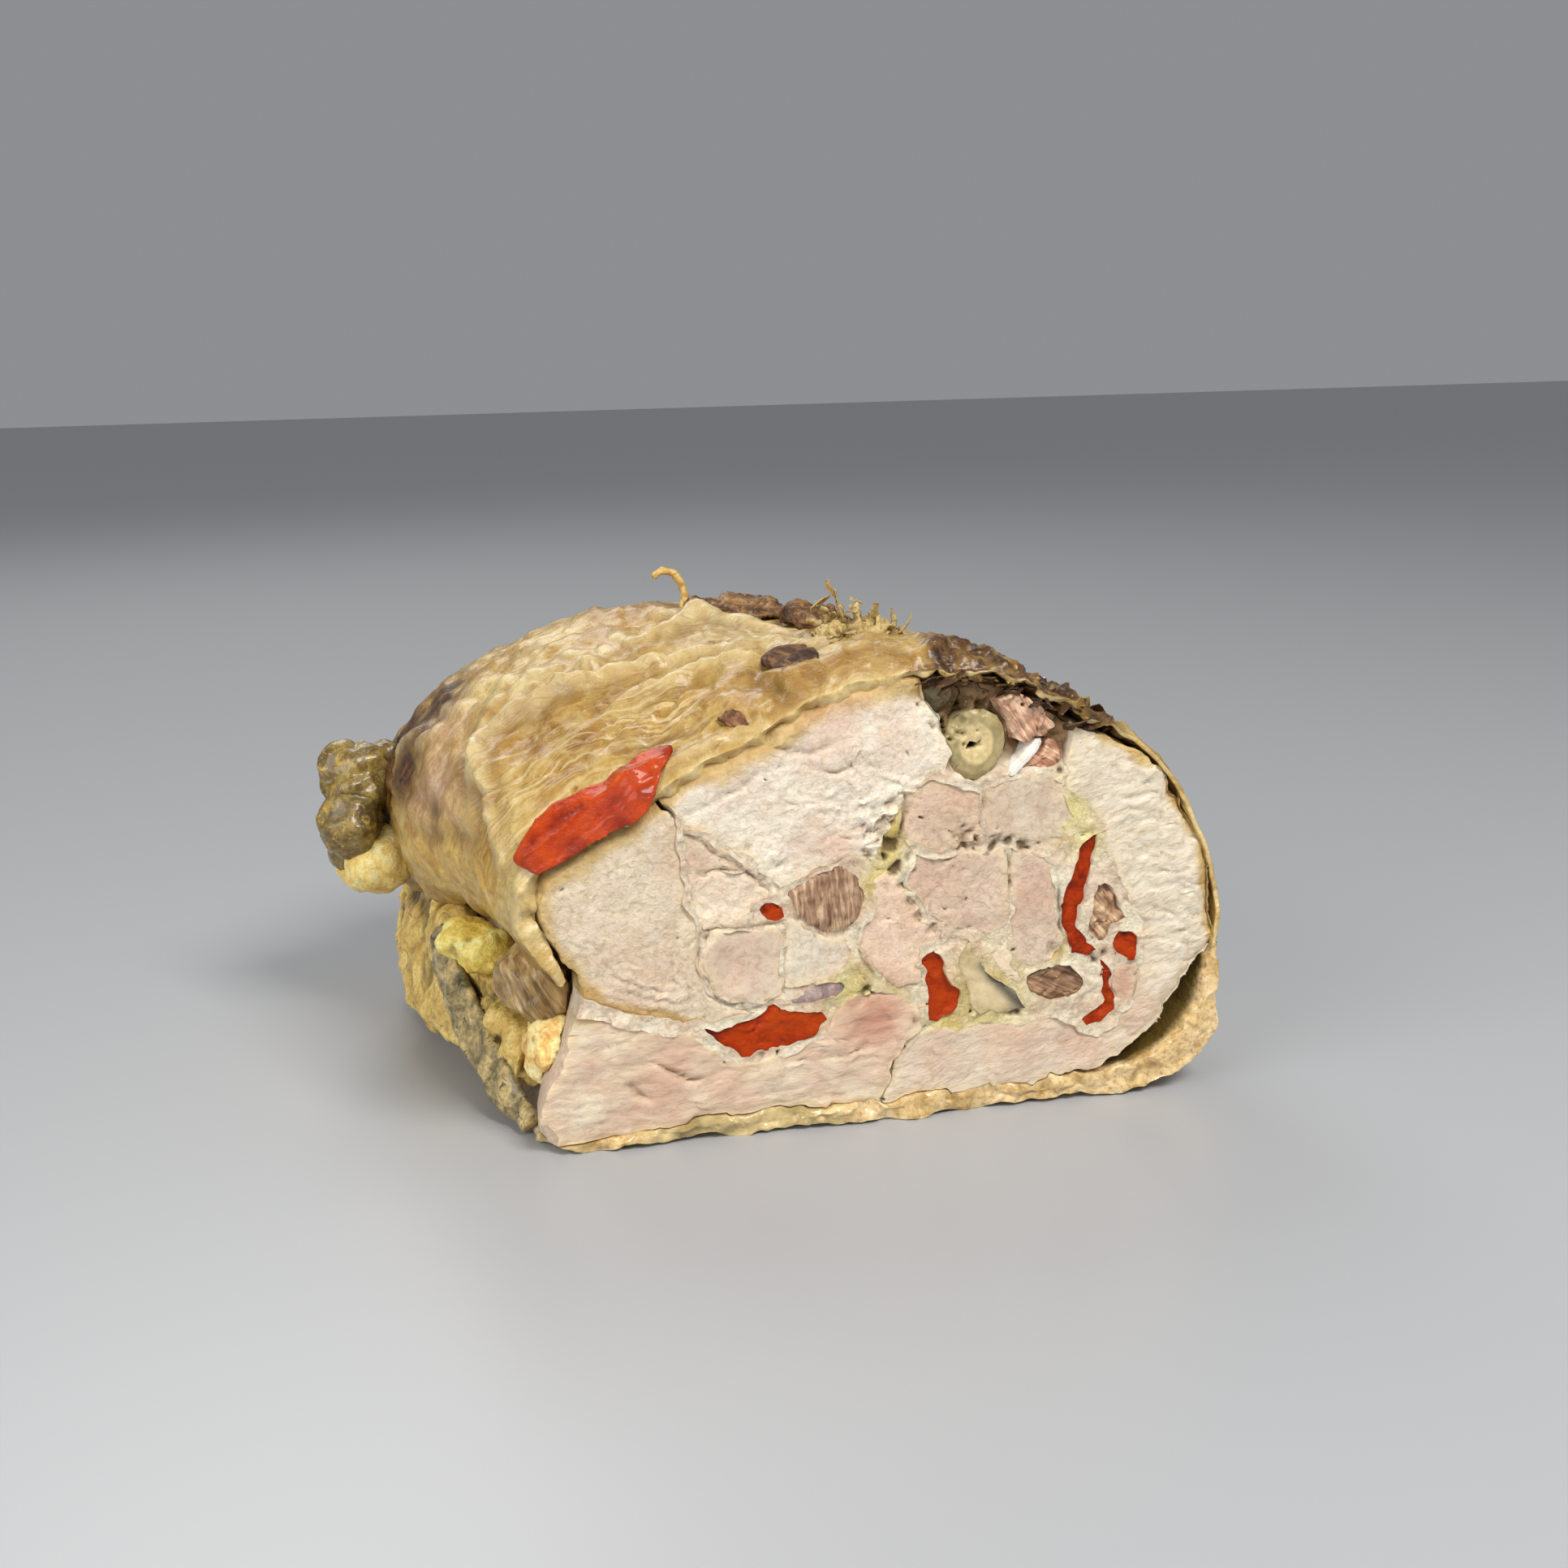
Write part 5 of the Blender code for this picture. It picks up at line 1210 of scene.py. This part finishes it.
def build_olives():
    """The olive ring with its torn hole, the olive behind it, and a wedge lower down."""
    ring = copy_node("olive_ring", "olive_ring_cut")

    def ring_relief(p, q, to_rim):
        r = olive_radius(q)
        return 0.25 * np.exp(-((r - 0.55) / 0.12) ** 2) - 0.5 * fade(r, 0.86, 1.0)

    carve_face(ring, crumb=0.05, soft=0.1, rim=0.25, warp=0.15, shape=ring_relief, grain=0.4)
    p = mm_of(ring.data)
    r = olive_radius(p)
    core = 1 - fade(r, 0.52, 0.66)
    hole = fade(p[:, 1], 1.2, 3.0)
    set_value(ring, "core", core)
    # The torn hole's wall, for the painted shade in the hole.
    set_value(ring, "crack", np.clip(hole * (r < 0.6), 0, 1))
    # A pickled olive's flesh: smooth, greenish grey, paler at its core, with painted shade in the
    # hole.
    material, tree, here = begin("pickled_olive_cut", 0.28, 1.42, 0.25, 1.5)
    broad, pale, fine, core, crack = surface(
        tree, here, [(size, 3.0, 0.55, 0.0) for size in (2.4, 1.6, 1.2)], ("core", "crack"))
    tone = laid(tree, (broad, (0.35, "96885f"), (0.6, "b1a073")),
                (core, (pale, (0.35, "c2af7e"), (0.6, "d9c593"))), (crack, "2c2310"))
    hand_over(ring, complete(material, tone, None, [(fine, 0.12)]), ["olive_ring"])
    behind = copy_node("olive_behind", "olive_behind_cut")
    carve_face(behind, crumb=0.1, soft=0.3, rim=0.3)
    hand_over(behind, plain_food("pickled_olive_skin", "c4b48c", "96855c", "54462c", 2.6, 0.25,
                                 0.2, 0.2), ["olive_behind"])
    wedge = copy_node("olive_wedge", "olive_wedge_cut")
    carve_face(wedge, crumb=0.12, soft=0.35, rim=0.15)
    p = mm_of(wedge.data)
    far, _ = near_line(p * [1, 0, 1], [(79.6, 0, 31.2), (82.6, 0, 27.4), (86, 0, 23.6),
                                       (88, 0, 21.6)])
    set_value(wedge, "core", np.exp(-(far / 1.5) ** 2))
    # A slice along a pickled olive: pale flesh with the grey of its skin in a line.
    material, tree, here = begin("pickled_olive_slice", 0.3, 1.42, 0.25, 1.5)
    broad, fine, core = surface(tree, here, [(4.0, 4.0, 0.6, 0.0), (1.6, 4.0, 0.55, 0.0)],
                                ("core",))
    tone = laid(tree, (broad, (0.34, "b29e72"), (0.5, "cbb88f"), (0.66, "d8c69f")),
                (core, "59544b"))
    hand_over(wedge, complete(material, tone, None, [(fine, 0.2)]), ["olive_wedge"])


def build_under_skin():
    """The wet lower skin: ragged at the cut, with jelly clinging to it and a lip on the right."""
    obj = copy_node("under_skin", "under_skin_wet")

    def drips(p, q, to_rim):
        low = 1 - fade(q[:, 2], 3, 6)
        return low * (1.1 * lumps(q, 4.2, 25, 3) + 0.4) - 0.4 * fade(q[:, 2], 8, 14)

    carve_face(obj, crumb=0.3, size=1.8, soft=0.6, rim=0.1, warp=0.9, grow=0.05, shape=drips,
               grain=0.7, deep=1.6)
    mesh = obj.data
    p = mm_of(mesh)
    n = normals_of(mesh)
    back = fade(p[:, 1], 2, 8)
    outer = (n[:, 0] > 0.3) | (n[:, 1] > 0.5) | (n[:, 2] < -0.5)
    rise = 1.1 * lumps(p, 9, 15, 3) + 0.7 * (ridges(p * [0.4, 0.4, 1], 3.0, 16, 2) - 0.5)
    p += n * (rise * back * np.where(outer, 1, 0.2))[:, None]
    # The lower front edge waves up off the table between its drips.
    edge = (1 - fade(p[:, 1], 1.0, 7.0)) * (1 - fade(p[:, 2], 1.0, 3.4))
    lift = np.clip(0.55 + 1.1 * lumps(p * [1, 0, 0], 5.5, 29, 2), 0, 1.5)
    p[:, 2] += edge * lift
    p[:, 2] = np.maximum(p[:, 2], 0.03)
    put_mm(mesh, p)
    jelly = fade(p[:, 0], 4, 14) * (1 - fade(p[:, 0], 44, 56)) + (1 - fade(p[:, 0], -6, 2))
    set_value(obj, "jelly", np.clip(jelly * (1 - fade(p[:, 2], 5, 8)) * (1 - fade(p[:, 1], 6, 12)),
                                    0, 1))
    # Painted shade on the inner side of the lip on the right.
    inner = (1 - fade(p[:, 1], 40, 50)) * fade(p[:, 1], 1.0, 3.0) * (n[:, 0] < 0.1) * fade(
        p[:, 0], 104, 112)
    set_value(obj, "dark", np.clip(inner, 0, 1))
    # Cooked skin soaked in jelly: pale tan, ragged, under a thick clear coat that shines, with
    # painted shade in its fine gaps and inside the lip.
    material, tree, here = begin("wet_lower_skin", 0.22, 1.4, 0.25, 2.0, 0.7, 0.06)
    broad, fine, jelly, dark = surface(tree, here, [(7.0, 4.0, 0.6, 0.0), (1.1, 4.0, 0.65, 0.0)],
                                       ("jelly", "dark"))
    tone = laid(tree, (broad, (0.33, "b38e53"), (0.46, "dbbc82"), (0.60, "ecd1a0"),
                       (0.72, "d2ad6c")),
                ((fine, *GAPS), "95703a"),
                (jelly, (broad, (0.38, "ac9660"), (0.62, "e1c891"))),
                (dark, "624f23"))
    hand_over(obj, complete(material, tone, (fine, 0.12, 0.42), ((broad, 0.7), (fine, 0.3))),
              ["under_skin"])


def build_side():
    """The wet scraps that hang out of the left side."""
    obj = organic("side_tongue", "side_tongue_wet", 0.6, 5,
                  [(8, 1.1, 3, "lumps"), (3.4, 0.5, 4, "lumps")])
    hand_over(obj, tongue_finish("side_tongue_boiled", "ae905e", "d9b983", "715937", (20, 25, 30),
                                 1.1, 0.26, 0.3), ["side_tongue"])
    obj = organic("side_fat", "side_fat_soft", 0.7, 5,
                  [(7, 1.4, 13, "lumps"), (2.6, 0.5, 14, "lumps")])
    hand_over(obj, plain_food("yellow_fat", "faf8a9", "f4db6d", "d0af43", 4.0, 0.32, 0.4, 0.25,
                              coat=0.3), ["side_fat"])
    obj = organic("side_chunk", "side_chunk_rough", 0.6, 4,
                  [(6, 1.0, 23, "lumps"), (3.0, 0.5, 24, "lumps")])
    hand_over(obj, plain_food("browned_scrap", "fafac3", "fada88", "cb934f", 5.0, 0.36, 0.4),
              ["side_chunk"])
    obj = organic("grey_skin", "grey_skin_wet", 0.6, 3,
                  [(7, 0.9, 33, "lumps"), (2.4, 0.25, 34, "lumps")],
                  floor=True)
    hand_over(obj, plain_food("wet_grey_skin", "e7c987", "a49161", "5a5233", 5.0, 0.26, 0.4, 0.15,
                              coat=0.35, specks="35301b", speck_share=0.04),
              ["grey_skin"])
    obj = organic("side_meat", "side_meat_stringy", 0.9, 4,
                  [(10, 2.0, 43, "lumps"), (4.0, 0.7, 44, "lumps"), (1.8, 0.3, 45, "lumps")],
                  floor=True)
    hand_over(obj, plain_food("stringy_scraps", "fae191", "e0bf6b", "a98640", 6.0, 0.36, 0.5,
                              specks="837545", speck_share=0.02), ["side_meat"])
    obj = organic("end_lump", "end_lump_wet", 0.7, 4,
                  [(8, 2.2, 53, "lumps"), (3.0, 0.6, 54, "lumps"), (1.4, 0.2, 55, "lumps")], 1.5)
    hand_over(obj, plain_food("grey_brown_scrap", "a58c49", "7b6634", "50411f", 4.4, 0.22, 0.34,
                              coat=0.4, specks="bf9b3e", speck_share=0.05),
              ["end_lump"])
    obj = organic("end_fat", "end_fat_soft", 0.7, 4,
                  [(6, 1.5, 63, "lumps"), (2.4, 0.6, 64, "lumps")], 2.1)
    hand_over(obj, plain_food("pale_yellow_fat", "f6edbe", "f2df92", "dfb75c", 4.0, 0.32, 0.45,
                              0.25), ["end_fat"])


def build_top_scraps():
    """Tongue and crisp scraps lying on the roll, and the curl of skin."""
    for node, name, base, light, dark, turn in (
            ("tongue_top", "tongue_top_fibrous", "745231", "a47e4f", "38220f", (0, 80, 15)),
            ("tongue_top_small", "tongue_top_small_fibrous", "654629", "957146", "2f1b10",
             (0, 80, 30)),
            ("tongue_patch", "tongue_patch_leathery", "553924", "856341", "27160c", (0, 75, 10)),
            ("tongue_patch_small", "tongue_patch_small_wet", "73492d", "a47852", "3d2112",
             (0, 60, 10))):
        small = "patch" in node
        obj = organic(node, name, 0.5 if small else 0.6, 3 if small else 4,
                      [(4, 0.3 if small else 0.9, 3, "lumps"),
                       (1.6, 0.3 if small else 0.7, 4, "ridges")], 0.1)
        if small:
            p = mm_of(obj.data)
            p[:, 2] -= 1.4 + 1.0 * lumps(p, 3.0, 87, 2)
            put_mm(obj.data, p)
        hand_over(obj, tongue_finish("boiled_" + name, base, light, dark, turn, 0.9,
                                     0.62 if small else 0.42, 0.4), [node])
    obj = organic("crisp_shreds", "crisp_shreds_dry", 0.45, 1,
                  [(3, 0.8, 73, "lumps"), (1.6, 0.7, 74, "ridges"), (0.9, 0.2, 75, "lumps")], -0.3)
    finish = plain_food("crisp_dry_shreds", "d9c690", "bfa468", "84683a", 3.4, 0.5, 0.4, 0.3,
                        specks="6b5230", speck_share=0.03)
    hand_over(obj, finish, ["crisp_shreds"])
    rand = random.Random(11)
    p = mm_of(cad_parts["crisp_shreds"].data)
    spots = [(*(p[rand.randrange(len(p))] + [0, 0, -0.8]), rand.uniform(0.5, 1.1),
              rand.uniform(0.0, 1.3)) for k in range(46)]
    hand_over(flake_mesh("crisp_flakes", spots, sizes().shred, 12), finish)
    obj = organic("skin_curl", "skin_curl_pale", 0.4, 2, [(2.5, 0.3, 83, "lumps")], 0.1)
    hand_over(obj, plain_food("curled_skin", "dec480", "cead61", "ab8137", 3.0, 0.34, 0.2, 0.3),
              ["skin_curl"])


def build_pepper_outside():
    """A strap of pepper: a flat upper side, a ridge, and a paler fold hanging below it."""
    obj = organic("pepper_outside", "pepper_outside_glossy", 0.5, 1, [(7, 0.3, 93, "lumps")])
    p = mm_of(obj.data)
    middle = p.mean(axis=0)
    _, axes = np.linalg.eigh(np.cov((p - middle).T))
    thin, wide, long = axes[:, 0], axes[:, 1], axes[:, 2]
    thin = thin * np.sign(thin @ [-0.4, -0.5, 0.7])
    wide = wide * np.sign(wide[2])
    long = long * np.sign(long[0])
    a, b, c = (p - middle) @ long, (p - middle) @ wide, (p - middle) @ thin
    ridge = 0.3 + 0.9 * np.sin(a / 6.0)
    outer = fade(c, -0.5, 1.0)
    c = c * 0.7 + outer * (1.1 * np.exp(-np.abs(b - ridge) / 1.1) - 0.5 * np.exp(
        -((b - ridge + 3.2) / 1.0) ** 2) + 0.7 * np.exp(-((a - 9) / 2.0) ** 2))
    b = b + 0.6 * lumps(np.column_stack([a, a * 0, a * 0]), 4.0, 97, 2)
    p = middle + a[:, None] * long + b[:, None] * wide + c[:, None] * thin
    p += normals_of(obj.data) * (0.12 * lumps(p, 1.5, 98, 2) * fade(ridge - b, 0, 2))[:, None]
    put_mm(obj.data, p)
    set_value(obj, "pale", fade(ridge - b, -0.2, 1.0) * (0.75 + 0.5 * lumps(p, 4, 99)))
    c = colours()
    hand_over(obj, pepper_finish("cooked_red_pepper_skin", hexed(c.pepper), "c84a04", "6a1002",
                                 0.12, 0.16, 0.3), ["pepper_outside"])


def flake_mesh(name, spots, size, seed, thick=0.35):
    """Thin ragged flakes, each modelled on a small grid that is bent and torn at its rim."""
    rand = random.Random(seed)
    size = round(size / MM, 4)
    verts, faces = [], []
    for u, d, z, scale, up in spots:
        length = size * scale * rand.uniform(0.7, 1.4)
        width = length * rand.uniform(0.5, 0.95)
        yaw, tilt = rand.uniform(0, math.tau), up + rand.uniform(-0.5, 0.5)
        roll = rand.uniform(-0.9, 0.9)
        turn = (Matrix.Rotation(yaw, 3, "Z") @ Matrix.Rotation(-tilt, 3, "Y")
                @ Matrix.Rotation(roll, 3, "X"))
        curl = rand.uniform(-0.5, 0.9)
        steps = 5
        base = len(verts)
        for side in (0, 1):
            for i in range(steps + 1):
                t = i / steps
                w = width * (0.55 + 0.45 * math.sin(math.pi * (0.25 + 0.6 * t)))
                w *= 1 - 0.6 * t * t
                for j in (-1, -0.4, 0.4, 1):
                    jag = rand.uniform(0.65, 1.15) if side == 0 else 1.0
                    x = length * (t - 0.25) * (1.0 if abs(j) < 0.5 else jag)
                    local = Vector((x, w * j * 0.5, curl * length * t * t * 0.5
                                    + thick * side * (1 - 0.7 * abs(j)) - abs(j) * 0.12 * width))
                    verts.append(metres(np.array((u, d, z)) + np.array(turn @ local)))
        per = (steps + 1) * 4

        def at(side, i, j):
            return base + side * per + i * 4 + j

        for i in range(steps):
            for j in range(3):
                faces.append((at(1, i, j), at(1, i, j + 1), at(1, i + 1, j + 1), at(1, i + 1, j)))
                faces.append((at(0, i, j), at(0, i + 1, j), at(0, i + 1, j + 1), at(0, i, j + 1)))
            faces.append((at(0, i, 0), at(1, i, 0), at(1, i + 1, 0), at(0, i + 1, 0)))
            faces.append((at(0, i, 3), at(0, i + 1, 3), at(1, i + 1, 3), at(1, i, 3)))
        for j in range(3):
            faces.append((at(0, 0, j), at(0, 0, j + 1), at(1, 0, j + 1), at(1, 0, j)))
            faces.append((at(0, steps, j), at(1, steps, j), at(1, steps, j + 1),
                          at(0, steps, j + 1)))
    mesh = bpy.data.meshes.new(name)
    mesh.from_pydata(verts, [], faces)
    obj = link(name, mesh)
    only(obj)
    bpy.ops.object.mode_set(mode="EDIT")
    bpy.ops.mesh.select_all(action="SELECT")
    bpy.ops.mesh.normals_make_consistent(inside=False)
    bpy.ops.object.mode_set(mode="OBJECT")
    smooth_shade(obj, 50)
    return obj


def build_fringe():
    """The dark ragged edge over the recess: browned flakes with a few pale dry ones."""
    rand = random.Random(5)

    def edge(share):
        return 66 + 42 * share, 92.4 - 1.0 * share - 14.0 * share ** 2.1

    dark, pale = [], []
    for k in range(sizes().flakes):
        share = rand.random() ** 0.9
        u, z = edge(share)
        deep = rand.uniform(-1.2, 9.0)
        dark.append((u + rand.uniform(-1.5, 1.5) - 0.2 * deep, deep,
                     z + 0.30 * deep - rand.uniform(0.2, 2.2), rand.uniform(0.5, 1.15),
                     rand.uniform(-0.45, 0.1)))
    for k in range(26):
        share = rand.random() ** 0.7
        u, z = edge(share)
        deep = rand.uniform(0, 11)
        pale.append((u - 0.2 * deep, deep, z + 0.30 * deep - 0.2, rand.uniform(0.35, 0.8),
                     rand.uniform(0.2, 1.3)))
    obj = flake_mesh("browned_flakes", dark, sizes().flake, 7)
    hand_over(obj, plain_food("browned_crust", "7a5a2c", "4a321a", "24160a", 3.0, 0.5, 0.3, 0.05))
    obj = flake_mesh("pale_flakes", pale, sizes().pale_flake, 8)
    hand_over(obj, plain_food("dry_tan_flakes", "e3cd92", "bf9c58", "7c5a2c", 3.0, 0.5, 0.3, 0.15))


# ---------------------------------------------------------------- stage

def build_stage():
    """A pale table, a camera where the photograph's stood, and three soft lamps."""
    scene = bpy.context.scene
    scene.view_settings.view_transform = "Standard"
    bpy.ops.mesh.primitive_plane_add(size=6.0, location=(0, 1.0, 0))
    floor = bpy.context.object
    floor.name = "table"
    material, tree, _ = begin("white_table", 0.34, 1.45, 0.0, 1.5)
    tree.nodes["Principled BSDF"].inputs["Base Color"].default_value = linear("aaacaf")
    floor.data.materials.append(material)
    camera = bpy.data.objects.new("camera", bpy.data.cameras.new("camera"))
    scene.collection.objects.link(camera)
    forward, right, down = LOOK
    x = math.cos(ROLL) * right + math.sin(ROLL) * down
    y = math.sin(ROLL) * right - math.cos(ROLL) * down
    turn = Matrix((x, y, -forward)).transposed().to_4x4()
    camera.matrix_world = Matrix.Translation(EYE) @ turn
    camera.data.lens = LENS
    camera.data.sensor_width = SENSOR
    camera.data.clip_start = 0.01
    scene.camera = camera
    for name, place, size, power, tint in (
            ("key", (0.30, -0.62, 0.80), 0.38, 9.3, (1.0, 0.975, 0.94)),
            ("fill", (-0.85, -0.55, 0.45), 0.8, 7.4, (1.0, 0.98, 0.96)),
            ("back", (-0.2, 0.85, 0.9), 0.6, 4.5, (1.0, 0.98, 0.95))):
        lamp = bpy.data.lights.new(name, "AREA")
        lamp.size = size
        lamp.energy = power
        lamp.color = tint
        obj = bpy.data.objects.new(name, lamp)
        obj.location = place
        aim = Vector((0, 0, 0.04)) - Vector(place)
        obj.rotation_euler = aim.to_track_quat("-Z", "Y").to_euler()
        scene.collection.objects.link(obj)
    world = bpy.data.worlds.new("studio")
    world.use_nodes = True
    world.node_tree.nodes["Background"].inputs["Color"].default_value = linear("eef1f5")
    world.node_tree.nodes["Background"].inputs["Strength"].default_value = 0.31
    scene.world = world


# ---------------------------------------------------------------- add-on

def tone(name, what, code):
    """A colour property from its sRGB hex."""
    return FloatVectorProperty(name=name, description=what, subtype="COLOR_GAMMA", size=3, min=0,
                               max=1, default=[int(code[k:k + 2], 16) / 255 for k in (0, 2, 4)])


class RollColours(bpy.types.PropertyGroup):
    """Colours of the finishes, as sRGB."""

    skin: tone("Skin", "Cooked skin's main yellow tan", "a88238")
    skin_pale: tone("Pale skin", "Skin where its fat shows through", "cab272")
    skin_dark: tone("Dark skin", "Skin in thicker, toasted patches", "855a22")
    pepper: tone("Pepper", "Cooked red pepper", "a83404")


def length(name, what, size, **limits):
    """A length property in metres."""
    return FloatProperty(name=name, description=what, default=size, min=0.0005, precision=4,
                         unit="LENGTH", **limits)


class RollSizes(bpy.types.PropertyGroup):
    """Sizes of the skin and of its loose flakes."""

    skin_wall: length("Skin and fat", "Thickness of the skin with its fat on the left side",
                      0.0044, max=0.005)
    skin_top: length("Skin on top", "Thickness of the skin over the top", 0.0032, max=0.005)
    skin_edge: length("Thin skin", "Thickness of the skin over the right side", 0.0015,
                      max=0.005)
    flake: length("Browned flake", "Length of a flake of the dark rim", 0.0046)
    pale_flake: length("Pale flake", "Length of a dry pale flake of the rim", 0.0036)
    shred: length("Crisp shred", "Length of a dry shred on top", 0.005)
    flakes: IntProperty(name="Browned flakes", description="Number of flakes in the dark rim",
                        default=100, min=0, max=400)


class ROLL_OT_skin(bpy.types.Operator):
    """Build the wrinkled skin over the roll"""

    bl_idname = "roll.skin"
    bl_label = "Skin"

    def execute(self, context):
        hand_over(build_skin(), skin_finish(), ["skin"])
        return {"FINISHED"}


class ROLL_OT_meat(bpy.types.Operator):
    """Build the layers and chunks of chicken in the cut"""

    bl_idname = "roll.meat"
    bl_label = "Chicken"

    def execute(self, context):
        build_meats(MEATS)
        return {"FINISHED"}


class ROLL_OT_binding(bpy.types.Operator):
    """Build the set jelly and fat between the chunks"""

    bl_idname = "roll.binding"
    bl_label = "Binding"

    def execute(self, context):
        build_binding()
        return {"FINISHED"}


class ROLL_OT_tongue(bpy.types.Operator):
    """Build the pieces of tongue in the cut"""

    bl_idname = "roll.tongue"
    bl_label = "Tongue"

    def execute(self, context):
        build_tongue()
        return {"FINISHED"}


class ROLL_OT_pepper(bpy.types.Operator):
    """Build the red pepper in the cut and on the skin"""

    bl_idname = "roll.pepper"
    bl_label = "Red pepper"

    def execute(self, context):
        build_peppers()
        build_pepper_outside()
        return {"FINISHED"}


class ROLL_OT_olives(bpy.types.Operator):
    """Build the olives in the cut"""

    bl_idname = "roll.olives"
    bl_label = "Olives"

    def execute(self, context):
        build_olives()
        return {"FINISHED"}


class ROLL_OT_under_skin(bpy.types.Operator):
    """Build the wet skin below the roll"""

    bl_idname = "roll.under_skin"
    bl_label = "Lower skin"

    def execute(self, context):
        build_under_skin()
        return {"FINISHED"}


class ROLL_OT_side(bpy.types.Operator):
    """Build the scraps that hang out of the left side"""

    bl_idname = "roll.side"
    bl_label = "Side scraps"

    def execute(self, context):
        build_side()
        return {"FINISHED"}


class ROLL_OT_top(bpy.types.Operator):
    """Build the scraps on top and the browned fringe"""

    bl_idname = "roll.top"
    bl_label = "Top scraps and fringe"

    def execute(self, context):
        build_top_scraps()
        build_fringe()
        return {"FINISHED"}


class ROLL_OT_stage(bpy.types.Operator):
    """Build the table, the camera and the lights"""

    bl_idname = "roll.stage"
    bl_label = "Stage"

    def execute(self, context):
        build_stage()
        return {"FINISHED"}


OPERATORS = (ROLL_OT_skin, ROLL_OT_meat, ROLL_OT_binding, ROLL_OT_tongue, ROLL_OT_pepper,
             ROLL_OT_olives, ROLL_OT_under_skin, ROLL_OT_side, ROLL_OT_top, ROLL_OT_stage)


class ROLL_PT_panel(bpy.types.Panel):
    """Lists the roll's sizes, its colours and its pieces"""

    bl_idname = "ROLL_PT_panel"
    bl_label = "Chicken and beef tongue roll"
    bl_space_type = "VIEW_3D"
    bl_region_type = "UI"
    bl_category = "Roll"

    def draw(self, context):
        for kind, group in ((RollSizes, sizes()), (RollColours, colours())):
            for name in kind.__annotations__:
                self.layout.prop(group, name)
        for kind in OPERATORS:
            self.layout.operator(kind.bl_idname)


def register():
    for kind in (RollSizes, RollColours, *OPERATORS, ROLL_PT_panel):
        bpy.utils.register_class(kind)
    bpy.types.Scene.roll_sizes = PointerProperty(type=RollSizes)
    bpy.types.Scene.roll_colours = PointerProperty(type=RollColours)


def unregister():
    del bpy.types.Scene.roll_colours
    del bpy.types.Scene.roll_sizes
    for kind in (ROLL_PT_panel, *reversed(OPERATORS), RollColours, RollSizes):
        bpy.utils.unregister_class(kind)


def main():
    register()
    for kind in OPERATORS:
        group, name = kind.bl_idname.split(".")
        getattr(getattr(bpy.ops, group), name)()
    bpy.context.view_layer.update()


if __name__ == "__main__":
    main()
